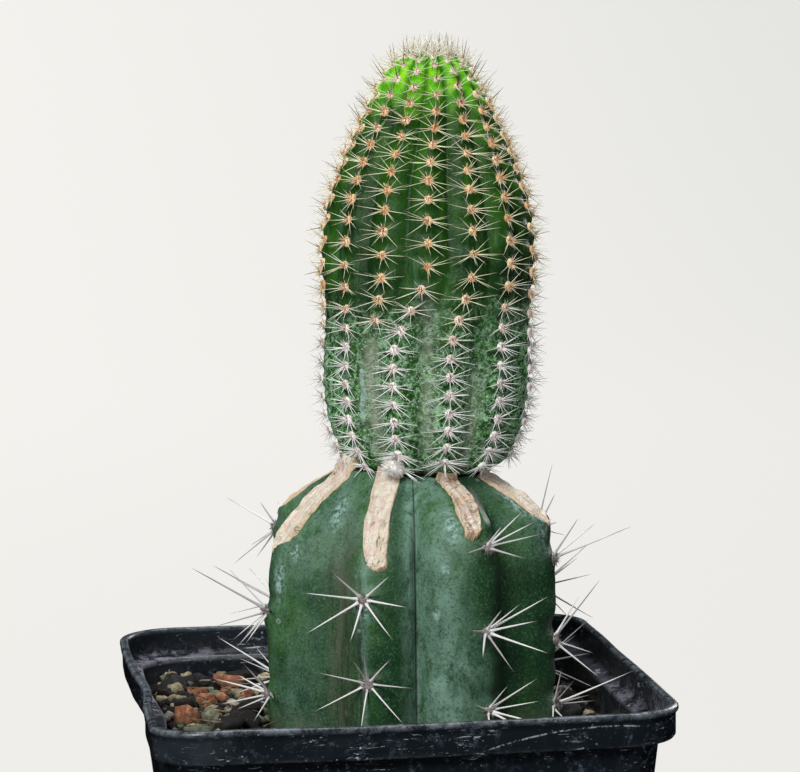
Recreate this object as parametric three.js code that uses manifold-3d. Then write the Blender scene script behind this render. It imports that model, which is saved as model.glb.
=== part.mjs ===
// A grafted column cactus in a square nursery pot.
// Millimetres, +Z up. The origin is the centre of the pot's underside, and the front faces -Y.
// Angles are in degrees, counted from +X towards +Y, seen from above.

import * as THREE from 'three';
import { mergeVertices } from 'three/addons/utils/BufferGeometryUtils.js';
import Module from 'manifold-3d';

const wasm = await Module();
wasm.setup();

// ---------------------------------------------------------------- driving dimensions

const CLEARANCE = 0.3; // gap between pieces that touch

const POT = {
  rim: 90, // side of the square rim, outside
  height: 90,
  taper: 0.1, // how much each side leans in per millimetre of height
  wall: 1.2,
  floor: 1.5,
  band: 6, // height of the band below the rim
  overhang: 2.9, // how far the band stands out past the body
  lip: 0.4, // how far the bead on top of the band stands out
  cornerRadius: 9.5, // at the rim
  footCornerRadius: 6,
  drainRadius: 3.5,
  drainOffset: 19,
};

const SOIL = {
  level: 80.6, // height of the surface between the stones
  slope: 0.03, // the surface falls this much per millimetre towards +X
  floorGap: 0.3,
  stones: 90,
  smallStone: 2.7, // half the size of a small stone
  largeStone: 4.6,
};

const STOCK = {
  x: 5, // where the stem stands in the pot
  y: 1,
  footZ: 60, // the stem's buried end
  footRadius: 17,
  topZ: 125.6, // the flat cut that carries the scion
  crestRadius: 26.8,
  furrowRadius: 21.5,
  topRadius: 13.6, // crest radius at the cut
  topFurrowRadius: 13.2,
  padRadius: 1.3, // of the felt pad of an areole
  padHeight: 0.7,
  stripWidth: 6.2, // width of the scar strip on each trimmed rib
  stripDepth: 1.1, // how deep the knife went below the crest
  scarThickness: 0.8,
};

// Each rib of the rootstock: where its crest and the furrow after it lie, where the knife cut starts,
// and the heights of its areoles.
const STOCK_RIBS = [
  { name: 'a', crest: -116, furrow: -97, cutZ: 112.5, areoles: [92.1, 106.8] },
  { name: 'b', crest: -69.5, furrow: -53.5, cutZ: 118.2, areoles: [86.8, 100.6, 115.2] },
  { name: 'd', crest: -28, furrow: -4, cutZ: 117.5, areoles: [84.4, 96, 110.7] },
  { name: 'f', crest: 18, furrow: 41, cutZ: 115, areoles: [87.5, 102, 113] },
  { name: 'g', crest: 64, furrow: 87, cutZ: 114, areoles: [93, 107.5] },
  { name: 'h', crest: 109, furrow: 131, cutZ: 116.5, areoles: [88.5, 103] },
  { name: 'e', crest: 149, furrow: 168, cutZ: 117, areoles: [86, 100, 113.8] },
  { name: 'c', crest: 191.5, furrow: 225, cutZ: 113, areoles: [87, 101.9] },
];

// The spines of one areole of the rootstock: clock angle in the skin, lift off the skin, length.
const STOCK_FAN = [
  [162, 34, 10.5],
  [112, 46, 8.5],
  [70, 58, 13.5],
  [38, 32, 9.5],
  [0, 28, 10.5],
  [-40, 32, 11],
  [-92, 42, 9],
  [-150, 36, 11.5],
];

const SCION = {
  x: 8,
  y: 1,
  lean: 0.016, // how far the column leans towards +X per millimetre of height
  baseZ: 125.9,
  furrowDepth: 1.7,
  firstRib: -147.3, // direction of the first rib of the first group
  groups: 3, // the rib pattern repeats this many times round the column
  splitStartZ: 147, // the inserted ribs begin here
  splitEndZ: 164, // and all ribs are evenly spaced from here up
  twist: 8, // how far the ribs turn towards the tip, in degrees
  twistStartZ: 176,
  twistEndZ: 196,
  areoleSpacing: 7.8,
  spines: 5, // per areole
  spineReach: 3.9,
  padRadius: 0.75,
  padHeight: 0.65,
  tuftRadius: 2,
};

// Outline of the scion as height and crest radius, from the graft to the growing point.
const SCION_OUTLINE = [
  [125.9, 11.3],
  [127.4, 13.9],
  [130.5, 15.9],
  [136, 17.9],
  [144, 18.7],
  [154, 18.5],
  [163, 18.9],
  [172, 18.0],
  [180, 15.7],
  [188, 12.4],
  [194, 9.6],
  [198, 6.4],
  [199.6, 3],
];
const SCION_TIP_Z = 200;

const SEED = 20;

// ---------------------------------------------------------------- small tools

const radians = THREE.MathUtils.degToRad;
const lerp = THREE.MathUtils.lerp;
const clamp = THREE.MathUtils.clamp;
const smoothstep = THREE.MathUtils.smoothstep;

// A seeded random number between low and high.
function makeRandom(seed) {
  let state = seed;
  return (low, high) => {
    state = (state * 1664525 + 1013904223) % 4294967296;
    return low + ((high - low) * state) / 4294967296;
  };
}

// The value at x of the straight-line curve through the [x, value] points.
function curveValue(points, x) {
  const next = points.findIndex((point) => point[0] > x);
  if (next === -1) return points[points.length - 1][1];
  if (next === 0) return points[0][1];
  const [x0, v0] = points[next - 1];
  const [x1, v1] = points[next];
  return lerp(v0, v1, (x - x0) / (x1 - x0));
}

function direction(angle) {
  return new THREE.Vector3(Math.cos(radians(angle)), Math.sin(radians(angle)), 0);
}

function toSolid(geometry) {
  const bare = geometry.clone();
  bare.deleteAttribute('normal');
  bare.deleteAttribute('uv');
  const merged = mergeVertices(bare);
  const mesh = new wasm.Mesh({
    numProp: 3,
    vertProperties: new Float32Array(merged.attributes.position.array),
    triVerts: new Uint32Array(merged.index.array),
  });
  return new wasm.Manifold(mesh);
}

function toGeometry(solid) {
  const { vertProperties, triVerts } = solid.getMesh();
  const geometry = new THREE.BufferGeometry();
  geometry.setAttribute('position', new THREE.BufferAttribute(vertProperties, 3));
  geometry.setIndex(new THREE.BufferAttribute(triVerts, 1));
  geometry.computeVertexNormals();
  return geometry;
}

function polyhedron(points, triangles) {
  const geometry = new THREE.BufferGeometry();
  const values = points.flatMap((point) => [point.x, point.y, point.z]);
  geometry.setAttribute('position', new THREE.Float32BufferAttribute(values, 3));
  geometry.setIndex(triangles.flat());
  return geometry;
}

// A closed body through rings of points that run anticlockwise, listed along the body.
function loft(rings) {
  const count = rings[0].length;
  const points = rings.flat();
  const triangles = [];
  for (let ring = 0; ring < rings.length - 1; ring += 1) {
    for (let i = 0; i < count; i += 1) {
      const a = ring * count + i;
      const b = ring * count + ((i + 1) % count);
      triangles.push([a, b, b + count], [a, b + count, a + count]);
    }
  }
  const start = points.push(centreOf(rings[0])) - 1;
  const end = points.push(centreOf(rings[rings.length - 1])) - 1;
  const lastRing = (rings.length - 1) * count;
  for (let i = 0; i < count; i += 1) {
    const j = (i + 1) % count;
    triangles.push([start, j, i], [end, lastRing + i, lastRing + j]);
  }
  return polyhedron(points, triangles);
}

function centreOf(ring) {
  const sum = new THREE.Vector3();
  ring.forEach((point) => sum.add(point));
  return sum.divideScalar(ring.length);
}

// The directions at a point of a standing plant's skin: out of it, sideways and up along it.
function skinFrame(angle, tilt = 0) {
  const out = direction(angle).multiplyScalar(Math.cos(radians(tilt)));
  out.z = Math.sin(radians(tilt));
  const side = direction(angle + 90);
  const up = new THREE.Vector3().crossVectors(out, side);
  return { out, side, up };
}

function fanDirection(frame, clock, lift) {
  const flat = Math.cos(radians(lift));
  return new THREE.Vector3()
    .addScaledVector(frame.side, flat * Math.cos(radians(clock)))
    .addScaledVector(frame.up, flat * Math.sin(radians(clock)))
    .addScaledVector(frame.out, Math.sin(radians(lift)));
}

// One areole as a star: a low pad whose rim runs out to the tip of each spine and comes back to the pad
// between them. Its underside is sunk into the skin.
function spineStar(centre, frame, tips, padRadius, padHeight) {
  const clockOf = (tip) => {
    const offset = tip.clone().sub(centre);
    return Math.atan2(offset.dot(frame.up), offset.dot(frame.side));
  };
  const spines = tips.map((tip) => ({ tip, clock: clockOf(tip) }));
  spines.sort((first, second) => first.clock - second.clock);
  const points = [
    centre.clone().addScaledVector(frame.out, padHeight),
    centre.clone().addScaledVector(frame.out, -padHeight),
  ];
  spines.forEach(({ tip, clock }, index) => {
    const wraps = index === spines.length - 1;
    const nextClock = wraps ? spines[0].clock + Math.PI * 2 : spines[index + 1].clock;
    const between = THREE.MathUtils.radToDeg((clock + nextClock) / 2);
    points.push(tip);
    points.push(centre.clone().addScaledVector(fanDirection(frame, between, 0), padRadius));
  });
  const rim = points.length - 2;
  const triangles = [];
  for (let i = 0; i < rim; i += 1) {
    const here = 2 + i;
    const next = 2 + ((i + 1) % rim);
    triangles.push([0, here, next], [1, next, here]);
  }
  return polyhedron(points, triangles);
}

// One solid of all these geometries, without the scraps and sealed hollows that joining can leave.
function fuse(geometries) {
  return largestBody(wasm.Manifold.union(geometries.map(toSolid)));
}

function largestBody(solid) {
  const bodies = solid.decompose();
  return bodies.reduce((best, body) => (body.volume() > best.volume() ? body : best));
}

// ---------------------------------------------------------------- pot

const CORNER_STEPS = 4;

function roundedSquare(half, radius, z) {
  const ring = [];
  for (let corner = 0; corner < 4; corner += 1) {
    const centre = direction(45 + corner * 90).multiplyScalar(Math.SQRT2 * (half - radius));
    for (let step = 0; step <= CORNER_STEPS; step += 1) {
      const spoke = direction(corner * 90 + (90 * step) / CORNER_STEPS).multiplyScalar(radius);
      ring.push(new THREE.Vector3(centre.x + spoke.x, centre.y + spoke.y, z));
    }
  }
  return ring;
}

const POT_BODY_TOP_Z = POT.height - POT.band;

function potBodyHalf(z) {
  return POT.rim / 2 - POT.overhang - POT.taper * (POT_BODY_TOP_Z - z);
}

function potInnerHalf(z) {
  return potBodyHalf(z) - POT.wall;
}

// The section of the pot's inside at a height, drawn in by an inset.
function potInside(z, inset) {
  const radius = lerp(POT.footCornerRadius, POT.cornerRadius - 1.5, z / POT_BODY_TOP_Z);
  return roundedSquare(potInnerHalf(z) - inset, radius - inset, z);
}

function makePot() {
  const rimHalf = POT.rim / 2;
  const bandHalf = rimHalf - POT.lip;
  const bandInner = bandHalf - POT.wall;
  const ledgeZ = POT_BODY_TOP_Z + POT.wall * 0.4;
  const radius = POT.cornerRadius;
  const footBevel = 1;
  const rings = [
    roundedSquare(potBodyHalf(0) - footBevel, POT.footCornerRadius, 0),
    roundedSquare(potBodyHalf(footBevel), POT.footCornerRadius + 1, footBevel),
    roundedSquare(potBodyHalf(POT_BODY_TOP_Z), radius - 1, POT_BODY_TOP_Z),
    roundedSquare(bandHalf - 0.4, radius, POT_BODY_TOP_Z + 0.2),
    roundedSquare(bandHalf, radius, POT_BODY_TOP_Z + 0.8),
    roundedSquare(bandHalf, radius, POT.height - 1.4),
    roundedSquare(rimHalf, radius, POT.height - 1),
    roundedSquare(rimHalf, radius, POT.height - 0.4),
    roundedSquare(rimHalf - 0.5, radius, POT.height),
    roundedSquare(bandInner + 0.2, radius - 1, POT.height),
    roundedSquare(bandInner, radius - 1, POT.height - 0.6),
    roundedSquare(bandInner, radius - 1, ledgeZ + 0.8),
    potInside(ledgeZ, 0),
    potInside(POT.floor, 0),
  ];
  let pot = toSolid(loft(rings));
  const drainDepth = POT.floor * 4;
  for (let corner = 0; corner < 4; corner += 1) {
    const drain = new THREE.CylinderGeometry(POT.drainRadius, POT.drainRadius, drainDepth, 16);
    drain.rotateX(Math.PI / 2);
    const place = direction(45 + corner * 90).multiplyScalar(POT.drainOffset);
    drain.translate(place.x, place.y, 0);
    pot = pot.subtract(toSolid(drain));
  }
  return toGeometry(pot);
}

// ---------------------------------------------------------------- rootstock

const RIB_STEPS = 6; // points from one furrow to the next

// The ribs in order, each with the furrows on both sides of it.
const stockRibs = STOCK_RIBS.map((rib, index) => {
  const before = STOCK_RIBS[(index + STOCK_RIBS.length - 1) % STOCK_RIBS.length].furrow;
  return { ...rib, before: index === 0 ? before - 360 : before };
});

const STOCK_FURROW = [
  [STOCK.footZ, STOCK.footRadius - 3],
  [68, STOCK.furrowRadius - 1],
  [78, STOCK.furrowRadius],
  [104, STOCK.furrowRadius],
  [110, STOCK.furrowRadius - 0.3],
  [114, STOCK.furrowRadius - 1.1],
  [118, STOCK.furrowRadius - 2.5],
  [122, STOCK.furrowRadius - 4.6],
  [STOCK.topZ, STOCK.topFurrowRadius],
];

// The crest of a rib stands upright and then leans in along its knife cut.
function stockCrest(rib, z) {
  const shoulder = [
    [STOCK.footZ, STOCK.footRadius],
    [68, STOCK.crestRadius - 2],
    [80, STOCK.crestRadius],
    [102, STOCK.crestRadius],
    [rib.cutZ, STOCK.crestRadius - 0.9],
    [lerp(rib.cutZ, STOCK.topZ, 0.5), lerp(STOCK.crestRadius - 0.9, STOCK.topRadius, 0.43)],
    [STOCK.topZ, STOCK.topRadius],
  ];
  return curveValue(shoulder, z);
}

// How far the flank has dropped from crest to furrow, for a place between 0 and 1 on the way.
function flankDrop(t) {
  return 0.3 * t + 0.7 * t ** 2.4;
}

function stockRing(z, grow) {
  const ring = [];
  stockRibs.forEach((rib) => {
    const crest = stockCrest(rib, z);
    const furrow = curveValue(STOCK_FURROW, z);
    for (let step = 0; step < RIB_STEPS; step += 1) {
      const place = step / (RIB_STEPS / 2) - 1;
      const angle = place < 0 ? lerp(rib.crest, rib.before, -place) : lerp(rib.crest, rib.furrow, place);
      const radius = lerp(crest, furrow, flankDrop(Math.abs(place))) + grow;
      const point = direction(angle).multiplyScalar(radius);
      ring.push(new THREE.Vector3(STOCK.x + point.x, STOCK.y + point.y, z));
    }
  });
  return ring;
}

const STOCK_RING_HEIGHTS = [68, 76, 84, 94, 102, 108, 112.5, 115, 117.5, 120, 122.5];

function stockBody(grow) {
  const heights = [STOCK.footZ - grow, ...STOCK_RING_HEIGHTS, STOCK.topZ + grow];
  return toSolid(loft(heights.map((z) => stockRing(z, grow))));
}

function stockAreolePlace(rib, z) {
  const point = direction(rib.crest).multiplyScalar(stockCrest(rib, z));
  return new THREE.Vector3(STOCK.x + point.x, STOCK.y + point.y, z);
}

// The knife cut of a rib: where it starts, and its directions out of, across and up the cut.
function knifeCut(rib) {
  const low = stockAreolePlace(rib, rib.cutZ);
  const high = stockAreolePlace(rib, STOCK.topZ);
  const up = new THREE.Vector3().subVectors(high, low).normalize();
  const across = direction(rib.crest + 90);
  const out = new THREE.Vector3().crossVectors(across, up);
  return { low, up, across, out, length: low.distanceTo(high) };
}

// A prism over an outline given along and across the cut, between two depths below the crest.
function prismOnCut(cut, outline, bottom, top) {
  const ringAt = (depth) =>
    outline.map(([along, across]) =>
      cut.low
        .clone()
        .addScaledVector(cut.up, along)
        .addScaledVector(cut.across, across)
        .addScaledVector(cut.out, depth),
    );
  return loft([ringAt(bottom), ringAt(top)]);
}

function stripOutline(length, width, start) {
  const half = width / 2;
  return [
    [start, -half * 0.4],
    [start, half * 0.3],
    [start + 2.2, half * 0.9],
    [length, half * 0.9],
    [length, -half * 0.9],
    [start + 3, -half],
  ];
}

function knifeGroove(rib) {
  const cut = knifeCut(rib);
  const pastTop = cut.length + 4;
  const outline = stripOutline(pastTop, STOCK.stripWidth + 2 * CLEARANCE, -0.6);
  return toSolid(prismOnCut(cut, outline, -STOCK.stripDepth, 6));
}

const SPINE_CLEAR_Z = SOIL.level + 4.2; // no spine tip lies lower
const TIP_ROOM = 8; // a grown spine is this many times its margin longer

// The spines of one areole. Those that would run into the soil are bent up clear of it.
function stockSpines(rib, z, random, grow) {
  const frame = skinFrame(rib.crest);
  const centre = stockAreolePlace(rib, z);
  const turn = random(-8, 8);
  const tips = STOCK_FAN.map(([clock, lift, length]) => {
    const along = fanDirection(frame, clock + turn + random(-5, 5), lift + random(-4, 4));
    const tip = centre.clone().addScaledVector(along, length * random(0.9, 1.1));
    tip.z = Math.max(tip.z, SPINE_CLEAR_Z);
    return tip.addScaledVector(along, grow * TIP_ROOM);
  });
  return spineStar(centre, frame, tips, STOCK.padRadius + grow, STOCK.padHeight + grow);
}

// The stars of all areoles. Grown by a margin, they are the room that the soil leaves them.
function stockStars(grow) {
  const random = makeRandom(SEED);
  return stockRibs.flatMap((rib) => rib.areoles.map((z) => stockSpines(rib, z, random, grow)));
}

function makeStock() {
  let stock = stockBody(0);
  stockRibs.forEach((rib) => {
    stock = stock.subtract(knifeGroove(rib));
  });
  return toGeometry(fuse([toGeometry(stock), ...stockStars(0)]));
}

// The corky scar that has grown over the knife cut of one rib.
function makeScar(rib) {
  const cut = knifeCut(rib);
  const floor = CLEARANCE - STOCK.stripDepth;
  const length = cut.length - 1.2;
  const outline = stripOutline(length, STOCK.stripWidth, 0.2);
  return prismOnCut(cut, outline, floor, floor + STOCK.scarThickness);
}

// ---------------------------------------------------------------- scion

// Rib directions inside one group, and the furrow after each rib, below and above the split.
// The second rib is the inserted one, which has no width and no height below the split.
const RIB_GROUP = [
  { low: 0, high: 0, furrowLow: 14.3, furrowHigh: 12, inserted: false },
  { low: 15, high: 24, furrowLow: 15.7, furrowHigh: 36, inserted: true },
  { low: 30, high: 48, furrowLow: 45, furrowHigh: 60, inserted: false },
  { low: 60, high: 72, furrowLow: 75, furrowHigh: 84, inserted: false },
  { low: 90, high: 96, furrowLow: 105.5, furrowHigh: 108, inserted: false },
];
const GROUP_ANGLE = 360 / SCION.groups;
const SCION_RIBS = SCION.groups * RIB_GROUP.length;

function splitShare(z) {
  return smoothstep(z, SCION.splitStartZ, SCION.splitEndZ);
}

function scionRib(index, z) {
  const group = Math.floor(index / RIB_GROUP.length);
  const rib = RIB_GROUP[index - group * RIB_GROUP.length];
  const share = splitShare(z);
  const twist = SCION.twist * smoothstep(z, SCION.twistStartZ, SCION.twistEndZ);
  const start = SCION.firstRib + group * GROUP_ANGLE + twist;
  return {
    crest: start + lerp(rib.low, rib.high, share),
    furrow: start + lerp(rib.furrowLow, rib.furrowHigh, share),
    height: rib.inserted ? share : 1,
    inserted: rib.inserted,
  };
}

function scionPoint(angle, radius, z) {
  const point = direction(angle).multiplyScalar(radius);
  return new THREE.Vector3(SCION.x + SCION.lean * (z - SCION.baseZ) + point.x, SCION.y + point.y, z);
}

function scionFurrowRadius(z) {
  const crest = curveValue(SCION_OUTLINE, z);
  return crest - SCION.furrowDepth * clamp(crest / 14, 0, 1);
}

function scionCrestRadius(rib, z) {
  return lerp(scionFurrowRadius(z), curveValue(SCION_OUTLINE, z), rib.height);
}

function scionRing(z) {
  const ring = [];
  for (let index = 0; index < SCION_RIBS; index += 1) {
    const rib = scionRib(index, z);
    const previous = scionRib((index + SCION_RIBS - 1) % SCION_RIBS, z);
    const before = index === 0 ? previous.furrow - 360 : previous.furrow;
    const furrow = scionFurrowRadius(z);
    const crest = scionCrestRadius(rib, z);
    const flank = lerp(furrow, crest, 0.72);
    ring.push(scionPoint(before, furrow, z));
    ring.push(scionPoint(lerp(before, rib.crest, 0.45), flank, z));
    ring.push(scionPoint(rib.crest, crest, z));
    ring.push(scionPoint(lerp(rib.crest, rib.furrow, 0.55), flank, z));
  }
  return ring;
}

const SCION_RING_HEIGHTS = [
  125.9, 127.4, 130.5, 136, 144, 150, 154, 158, 163, 172, 180, 188, 194, 198, 199.6,
];

// The lean of the skin at a height: 0 where it is upright, 90 where it faces up.
function scionTilt(z) {
  const step = 1.5;
  const below = curveValue(SCION_OUTLINE, z - step);
  const above = curveValue(SCION_OUTLINE, z + step);
  return THREE.MathUtils.radToDeg(Math.atan2(below - above, 2 * step));
}

// The spines of one areole. The lowest ones are bent up clear of the rootstock.
function scionSpines(centre, frame, lift, random) {
  const turn = random(0, 360);
  const tips = [];
  for (let i = 0; i < SCION.spines; i += 1) {
    const clock = turn + ((i + random(-0.15, 0.15)) * 360) / SCION.spines;
    const along = fanDirection(frame, clock, lift + random(-6, 6));
    const tip = centre.clone().addScaledVector(along, SCION.spineReach * random(0.85, 1.15));
    tip.z = Math.max(tip.z, SCION.baseZ + 2 * CLEARANCE);
    tips.push(tip);
  }
  return spineStar(centre, frame, tips, SCION.padRadius, SCION.padHeight);
}

function scionStars(random) {
  const stars = [];
  const firstZ = 128.4;
  const lastZ = 197.6;
  for (let index = 0; index < SCION_RIBS; index += 1) {
    const stagger = index % 2 === 0 ? 0 : SCION.areoleSpacing / 2;
    for (let z = firstZ + stagger; z < lastZ; z += SCION.areoleSpacing) {
      const rib = scionRib(index, z);
      if (rib.height > 0.3) {
        const centre = scionPoint(rib.crest, scionCrestRadius(rib, z), z);
        const frame = skinFrame(rib.crest, scionTilt(z));
        stars.push(scionSpines(centre, frame, 26, random));
      }
    }
  }
  return stars;
}

// The crown: a ring of steep spines round the growing point and one star on it.
function crownStars(random) {
  const stars = [];
  const crownCount = 5;
  const crownZ = 199.2;
  for (let i = 0; i < crownCount; i += 1) {
    const angle = (i * 360) / crownCount;
    const centre = scionPoint(angle, 3, crownZ);
    stars.push(scionSpines(centre, skinFrame(angle, 62), 42, random));
  }
  const top = scionPoint(0, 0, SCION_TIP_Z);
  stars.push(scionSpines(top, skinFrame(0, 88), 50, random));
  return stars;
}

// The lump of white wool at the foot of one rib.
function woolTuft() {
  const tuft = new THREE.IcosahedronGeometry(SCION.tuftRadius, 0);
  const place = scionPoint(-117, 13.6, 128.4);
  tuft.scale(1, 1, 0.8);
  tuft.translate(place.x, place.y, place.z);
  return tuft;
}

function makeScion() {
  const random = makeRandom(SEED + 1);
  const rings = SCION_RING_HEIGHTS.map(scionRing);
  const body = loft(rings);
  const tip = scionPoint(0, 0, SCION_TIP_Z);
  const last = body.attributes.position.count - 1;
  body.attributes.position.setXYZ(last, tip.x, tip.y, tip.z);
  return toGeometry(fuse([body, woolTuft(), ...scionStars(random), ...crownStars(random)]));
}

// ---------------------------------------------------------------- soil

function soilLevel(x, y) {
  const wave = 0.5 * Math.sin(x * 0.16) * Math.cos(y * 0.13);
  return SOIL.level - SOIL.slope * x + wave;
}

function soilBody() {
  const bottom = POT.floor + SOIL.floorGap;
  const surface = potInside(SOIL.level, CLEARANCE);
  const surfaceRing = (share) =>
    surface.map((point) => {
      const x = lerp(STOCK.x, point.x, share);
      const y = lerp(STOCK.y, point.y, share);
      return new THREE.Vector3(x, y, soilLevel(x, y));
    });
  const rings = [potInside(bottom, CLEARANCE), surfaceRing(1), surfaceRing(0.75), surfaceRing(0.4)];
  return loft(rings);
}

// A broken stone: a block whose corners are pulled in and out.
function stone(radius, random) {
  const block = new THREE.BoxGeometry(radius * 1.5, radius * 1.3, radius * 1.1);
  block.deleteAttribute('normal');
  block.deleteAttribute('uv');
  const geometry = mergeVertices(block);
  const position = geometry.attributes.position;
  for (let i = 0; i < position.count; i += 1) {
    const swell = random(0.72, 1.2);
    position.setXYZ(i, position.getX(i) * swell, position.getY(i) * swell, position.getZ(i) * swell);
  }
  geometry.rotateX(random(-0.5, 0.5));
  geometry.rotateY(random(-0.4, 0.4));
  geometry.rotateZ(random(0, Math.PI * 2));
  return geometry;
}

// Places for the stones: on sunflower spirals, evenly over the surface outside the stem.
function stonePlaces(random) {
  const places = [];
  const reach = potInnerHalf(SOIL.level) - 2.6;
  const stem = STOCK.crestRadius - 1.5;
  const cornerReach = reach * 1.33;
  const goldenAngle = 137.508;
  const spacing = 3.7;
  const mostTries = 400;
  for (let index = 0; index < mostTries && places.length < SOIL.stones; index += 1) {
    const spoke = direction(index * goldenAngle).multiplyScalar(spacing * Math.sqrt(index));
    const x = spoke.x + random(-0.8, 0.8);
    const y = spoke.y + random(-0.8, 0.8);
    const inPot = Math.max(Math.abs(x), Math.abs(y)) < reach && Math.hypot(x, y) < cornerReach;
    const offStem = Math.hypot(x - STOCK.x, y - STOCK.y) > stem;
    if (inPot && offStem) places.push([x, y]);
  }
  return places;
}

function makeSoil() {
  const random = makeRandom(SEED + 2);
  const stones = stonePlaces(random).map(([x, y]) => {
    const radius = random(SOIL.smallStone, SOIL.largeStone);
    const geometry = stone(radius, random);
    geometry.translate(x, y, soilLevel(x, y) - radius * random(0, 0.35));
    return geometry;
  });
  const heaped = fuse([soilBody(), ...stones]);
  const potRoom = [POT.floor + SOIL.floorGap, POT.height].map((z) => potInside(z, CLEARANCE));
  const kept = heaped.intersect(toSolid(loft(potRoom)));
  const stemRoom = fuse([toGeometry(stockBody(CLEARANCE)), ...stockStars(CLEARANCE)]);
  return toGeometry(largestBody(kept.subtract(stemRoom)));
}

// ---------------------------------------------------------------- assembly

const finish = {
  pot: { color: '#171d21', roughness: 0.5, metalness: 0 },
  soil: { color: '#7d6650', roughness: 0.95, metalness: 0 },
  stock: { color: '#3f6350', roughness: 0.5, metalness: 0 },
  scar: { color: '#bfb294', roughness: 0.9, metalness: 0 },
  scion: { color: '#4f7a3a', roughness: 0.6, metalness: 0 },
};

function named(name, geometry, look) {
  const mesh = new THREE.Mesh(geometry, new THREE.MeshStandardMaterial(look));
  mesh.name = name;
  return mesh;
}

const plant = new THREE.Group();
plant.add(named('pot', makePot(), finish.pot));
plant.add(named('soil', makeSoil(), finish.soil));
plant.add(named('rootstock', makeStock(), finish.stock));
plant.add(named('scion', makeScion(), finish.scion));
stockRibs.forEach((rib) => {
  plant.add(named(`scar_${rib.name}`, makeScar(rib), finish.scar));
});

export default plant;
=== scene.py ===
"""Dresses a grafted column cactus in its square nursery pot.

Shapes are worked out in millimetres in the part's own frame and written in metres. Angles are in
degrees, counted from +X towards +Y. The front faces -Y.
"""

import math

import bmesh
import bpy
import numpy as np
from mathutils import Matrix, Vector


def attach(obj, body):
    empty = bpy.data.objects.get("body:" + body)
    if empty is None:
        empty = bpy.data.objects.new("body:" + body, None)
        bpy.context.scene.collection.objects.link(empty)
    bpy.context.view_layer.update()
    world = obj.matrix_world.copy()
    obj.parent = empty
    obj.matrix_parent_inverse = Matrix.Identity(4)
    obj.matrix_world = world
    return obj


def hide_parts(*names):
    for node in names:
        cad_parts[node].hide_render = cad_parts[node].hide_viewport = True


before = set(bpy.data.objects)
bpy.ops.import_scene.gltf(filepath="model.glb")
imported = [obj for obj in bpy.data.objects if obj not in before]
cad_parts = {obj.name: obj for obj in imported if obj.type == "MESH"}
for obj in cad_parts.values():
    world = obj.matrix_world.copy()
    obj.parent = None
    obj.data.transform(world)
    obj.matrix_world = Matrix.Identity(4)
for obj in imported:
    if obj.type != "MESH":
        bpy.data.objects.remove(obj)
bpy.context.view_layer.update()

MM = 0.001
SEED = 20

# ---------------------------------------------------------------- driving dimensions, as in the part

POT_RIM = 90.0
POT_HEIGHT = 90.0
POT_TAPER = 0.1
POT_WALL = 1.2
POT_FLOOR = 1.5
POT_BAND = 6.0
POT_OVERHANG = 2.9
POT_LIP = 0.4
POT_CORNER = 9.5
POT_FOOT_CORNER = 6.0
DRAIN_RADIUS = 3.5
DRAIN_OFFSET = 19.0

SOIL_LEVEL = 80.6
SOIL_SLOPE = 0.03

STOCK_X = 5.0
STOCK_Y = 1.0
STOCK_FOOT_Z = 60.0
STOCK_TOP_Z = 125.6
STOCK_CREST = 26.8
STOCK_FURROW = 21.5
STOCK_TOP_RADIUS = 13.6
STOCK_TOP_FURROW = 13.2
SCAR_WIDTH = 6.2

# Ribs of the rootstock: name, crest, following furrow, start of the knife cut, heights of the areoles.
STOCK_RIBS = [
    ("a", -116, -97, 112.5, (92.1, 106.8)),
    ("b", -69.5, -53.5, 118.2, (86.8, 100.6, 115.2)),
    ("d", -28, -4, 117.5, (84.4, 96, 110.7)),
    ("f", 18, 41, 115, (87.5, 102, 113)),
    ("g", 64, 87, 114, (93, 107.5)),
    ("h", 109, 131, 116.5, (88.5, 103)),
    ("e", 149, 168, 117, (86, 100, 113.8)),
    ("c", 191.5, 225, 113, (87, 101.9)),
]

SCION_X = 8.0
SCION_Y = 1.0
SCION_LEAN = 0.016
SCION_BASE_Z = 125.9
SCION_TIP_Z = 200.0
SCION_FURROW = 1.7
SCION_FIRST_RIB = -147.3
SCION_GROUPS = 3
SPLIT_START_Z = 147.0
SPLIT_END_Z = 164.0
TWIST = 8.0
TWIST_START_Z = 176.0
TWIST_END_Z = 196.0

# Outline of the scion: height and radius over the crests.
SCION_OUTLINE = [
    (125.9, 11.3),
    (127.4, 13.9),
    (130.5, 15.9),
    (136, 17.9),
    (144, 18.7),
    (154, 18.5),
    (163, 18.9),
    (172, 18.0),
    (180, 15.5),
    (188, 11.8),
    (194, 8.8),
    (198, 6.2),
    (199.6, 3),
]

# One group of ribs: the crest below and above the split, the furrow after it likewise, and whether the
# rib is one that the split inserts.
RIB_GROUP = [
    (0, 0, 14.3, 12, False),
    (15, 24, 15.7, 36, True),
    (30, 48, 45, 60, False),
    (60, 72, 75, 84, False),
    (90, 96, 105.5, 108, False),
]

# ---------------------------------------------------------------- numbers


def smoothstep(x, low, high):
    t = np.clip((x - low) / (high - low), 0, 1)
    return t * t * (3 - 2 * t)


def lerp(a, b, t):
    return a + (b - a) * t


def bell(x, width):
    return np.exp(-((x / width) ** 2))


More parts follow.
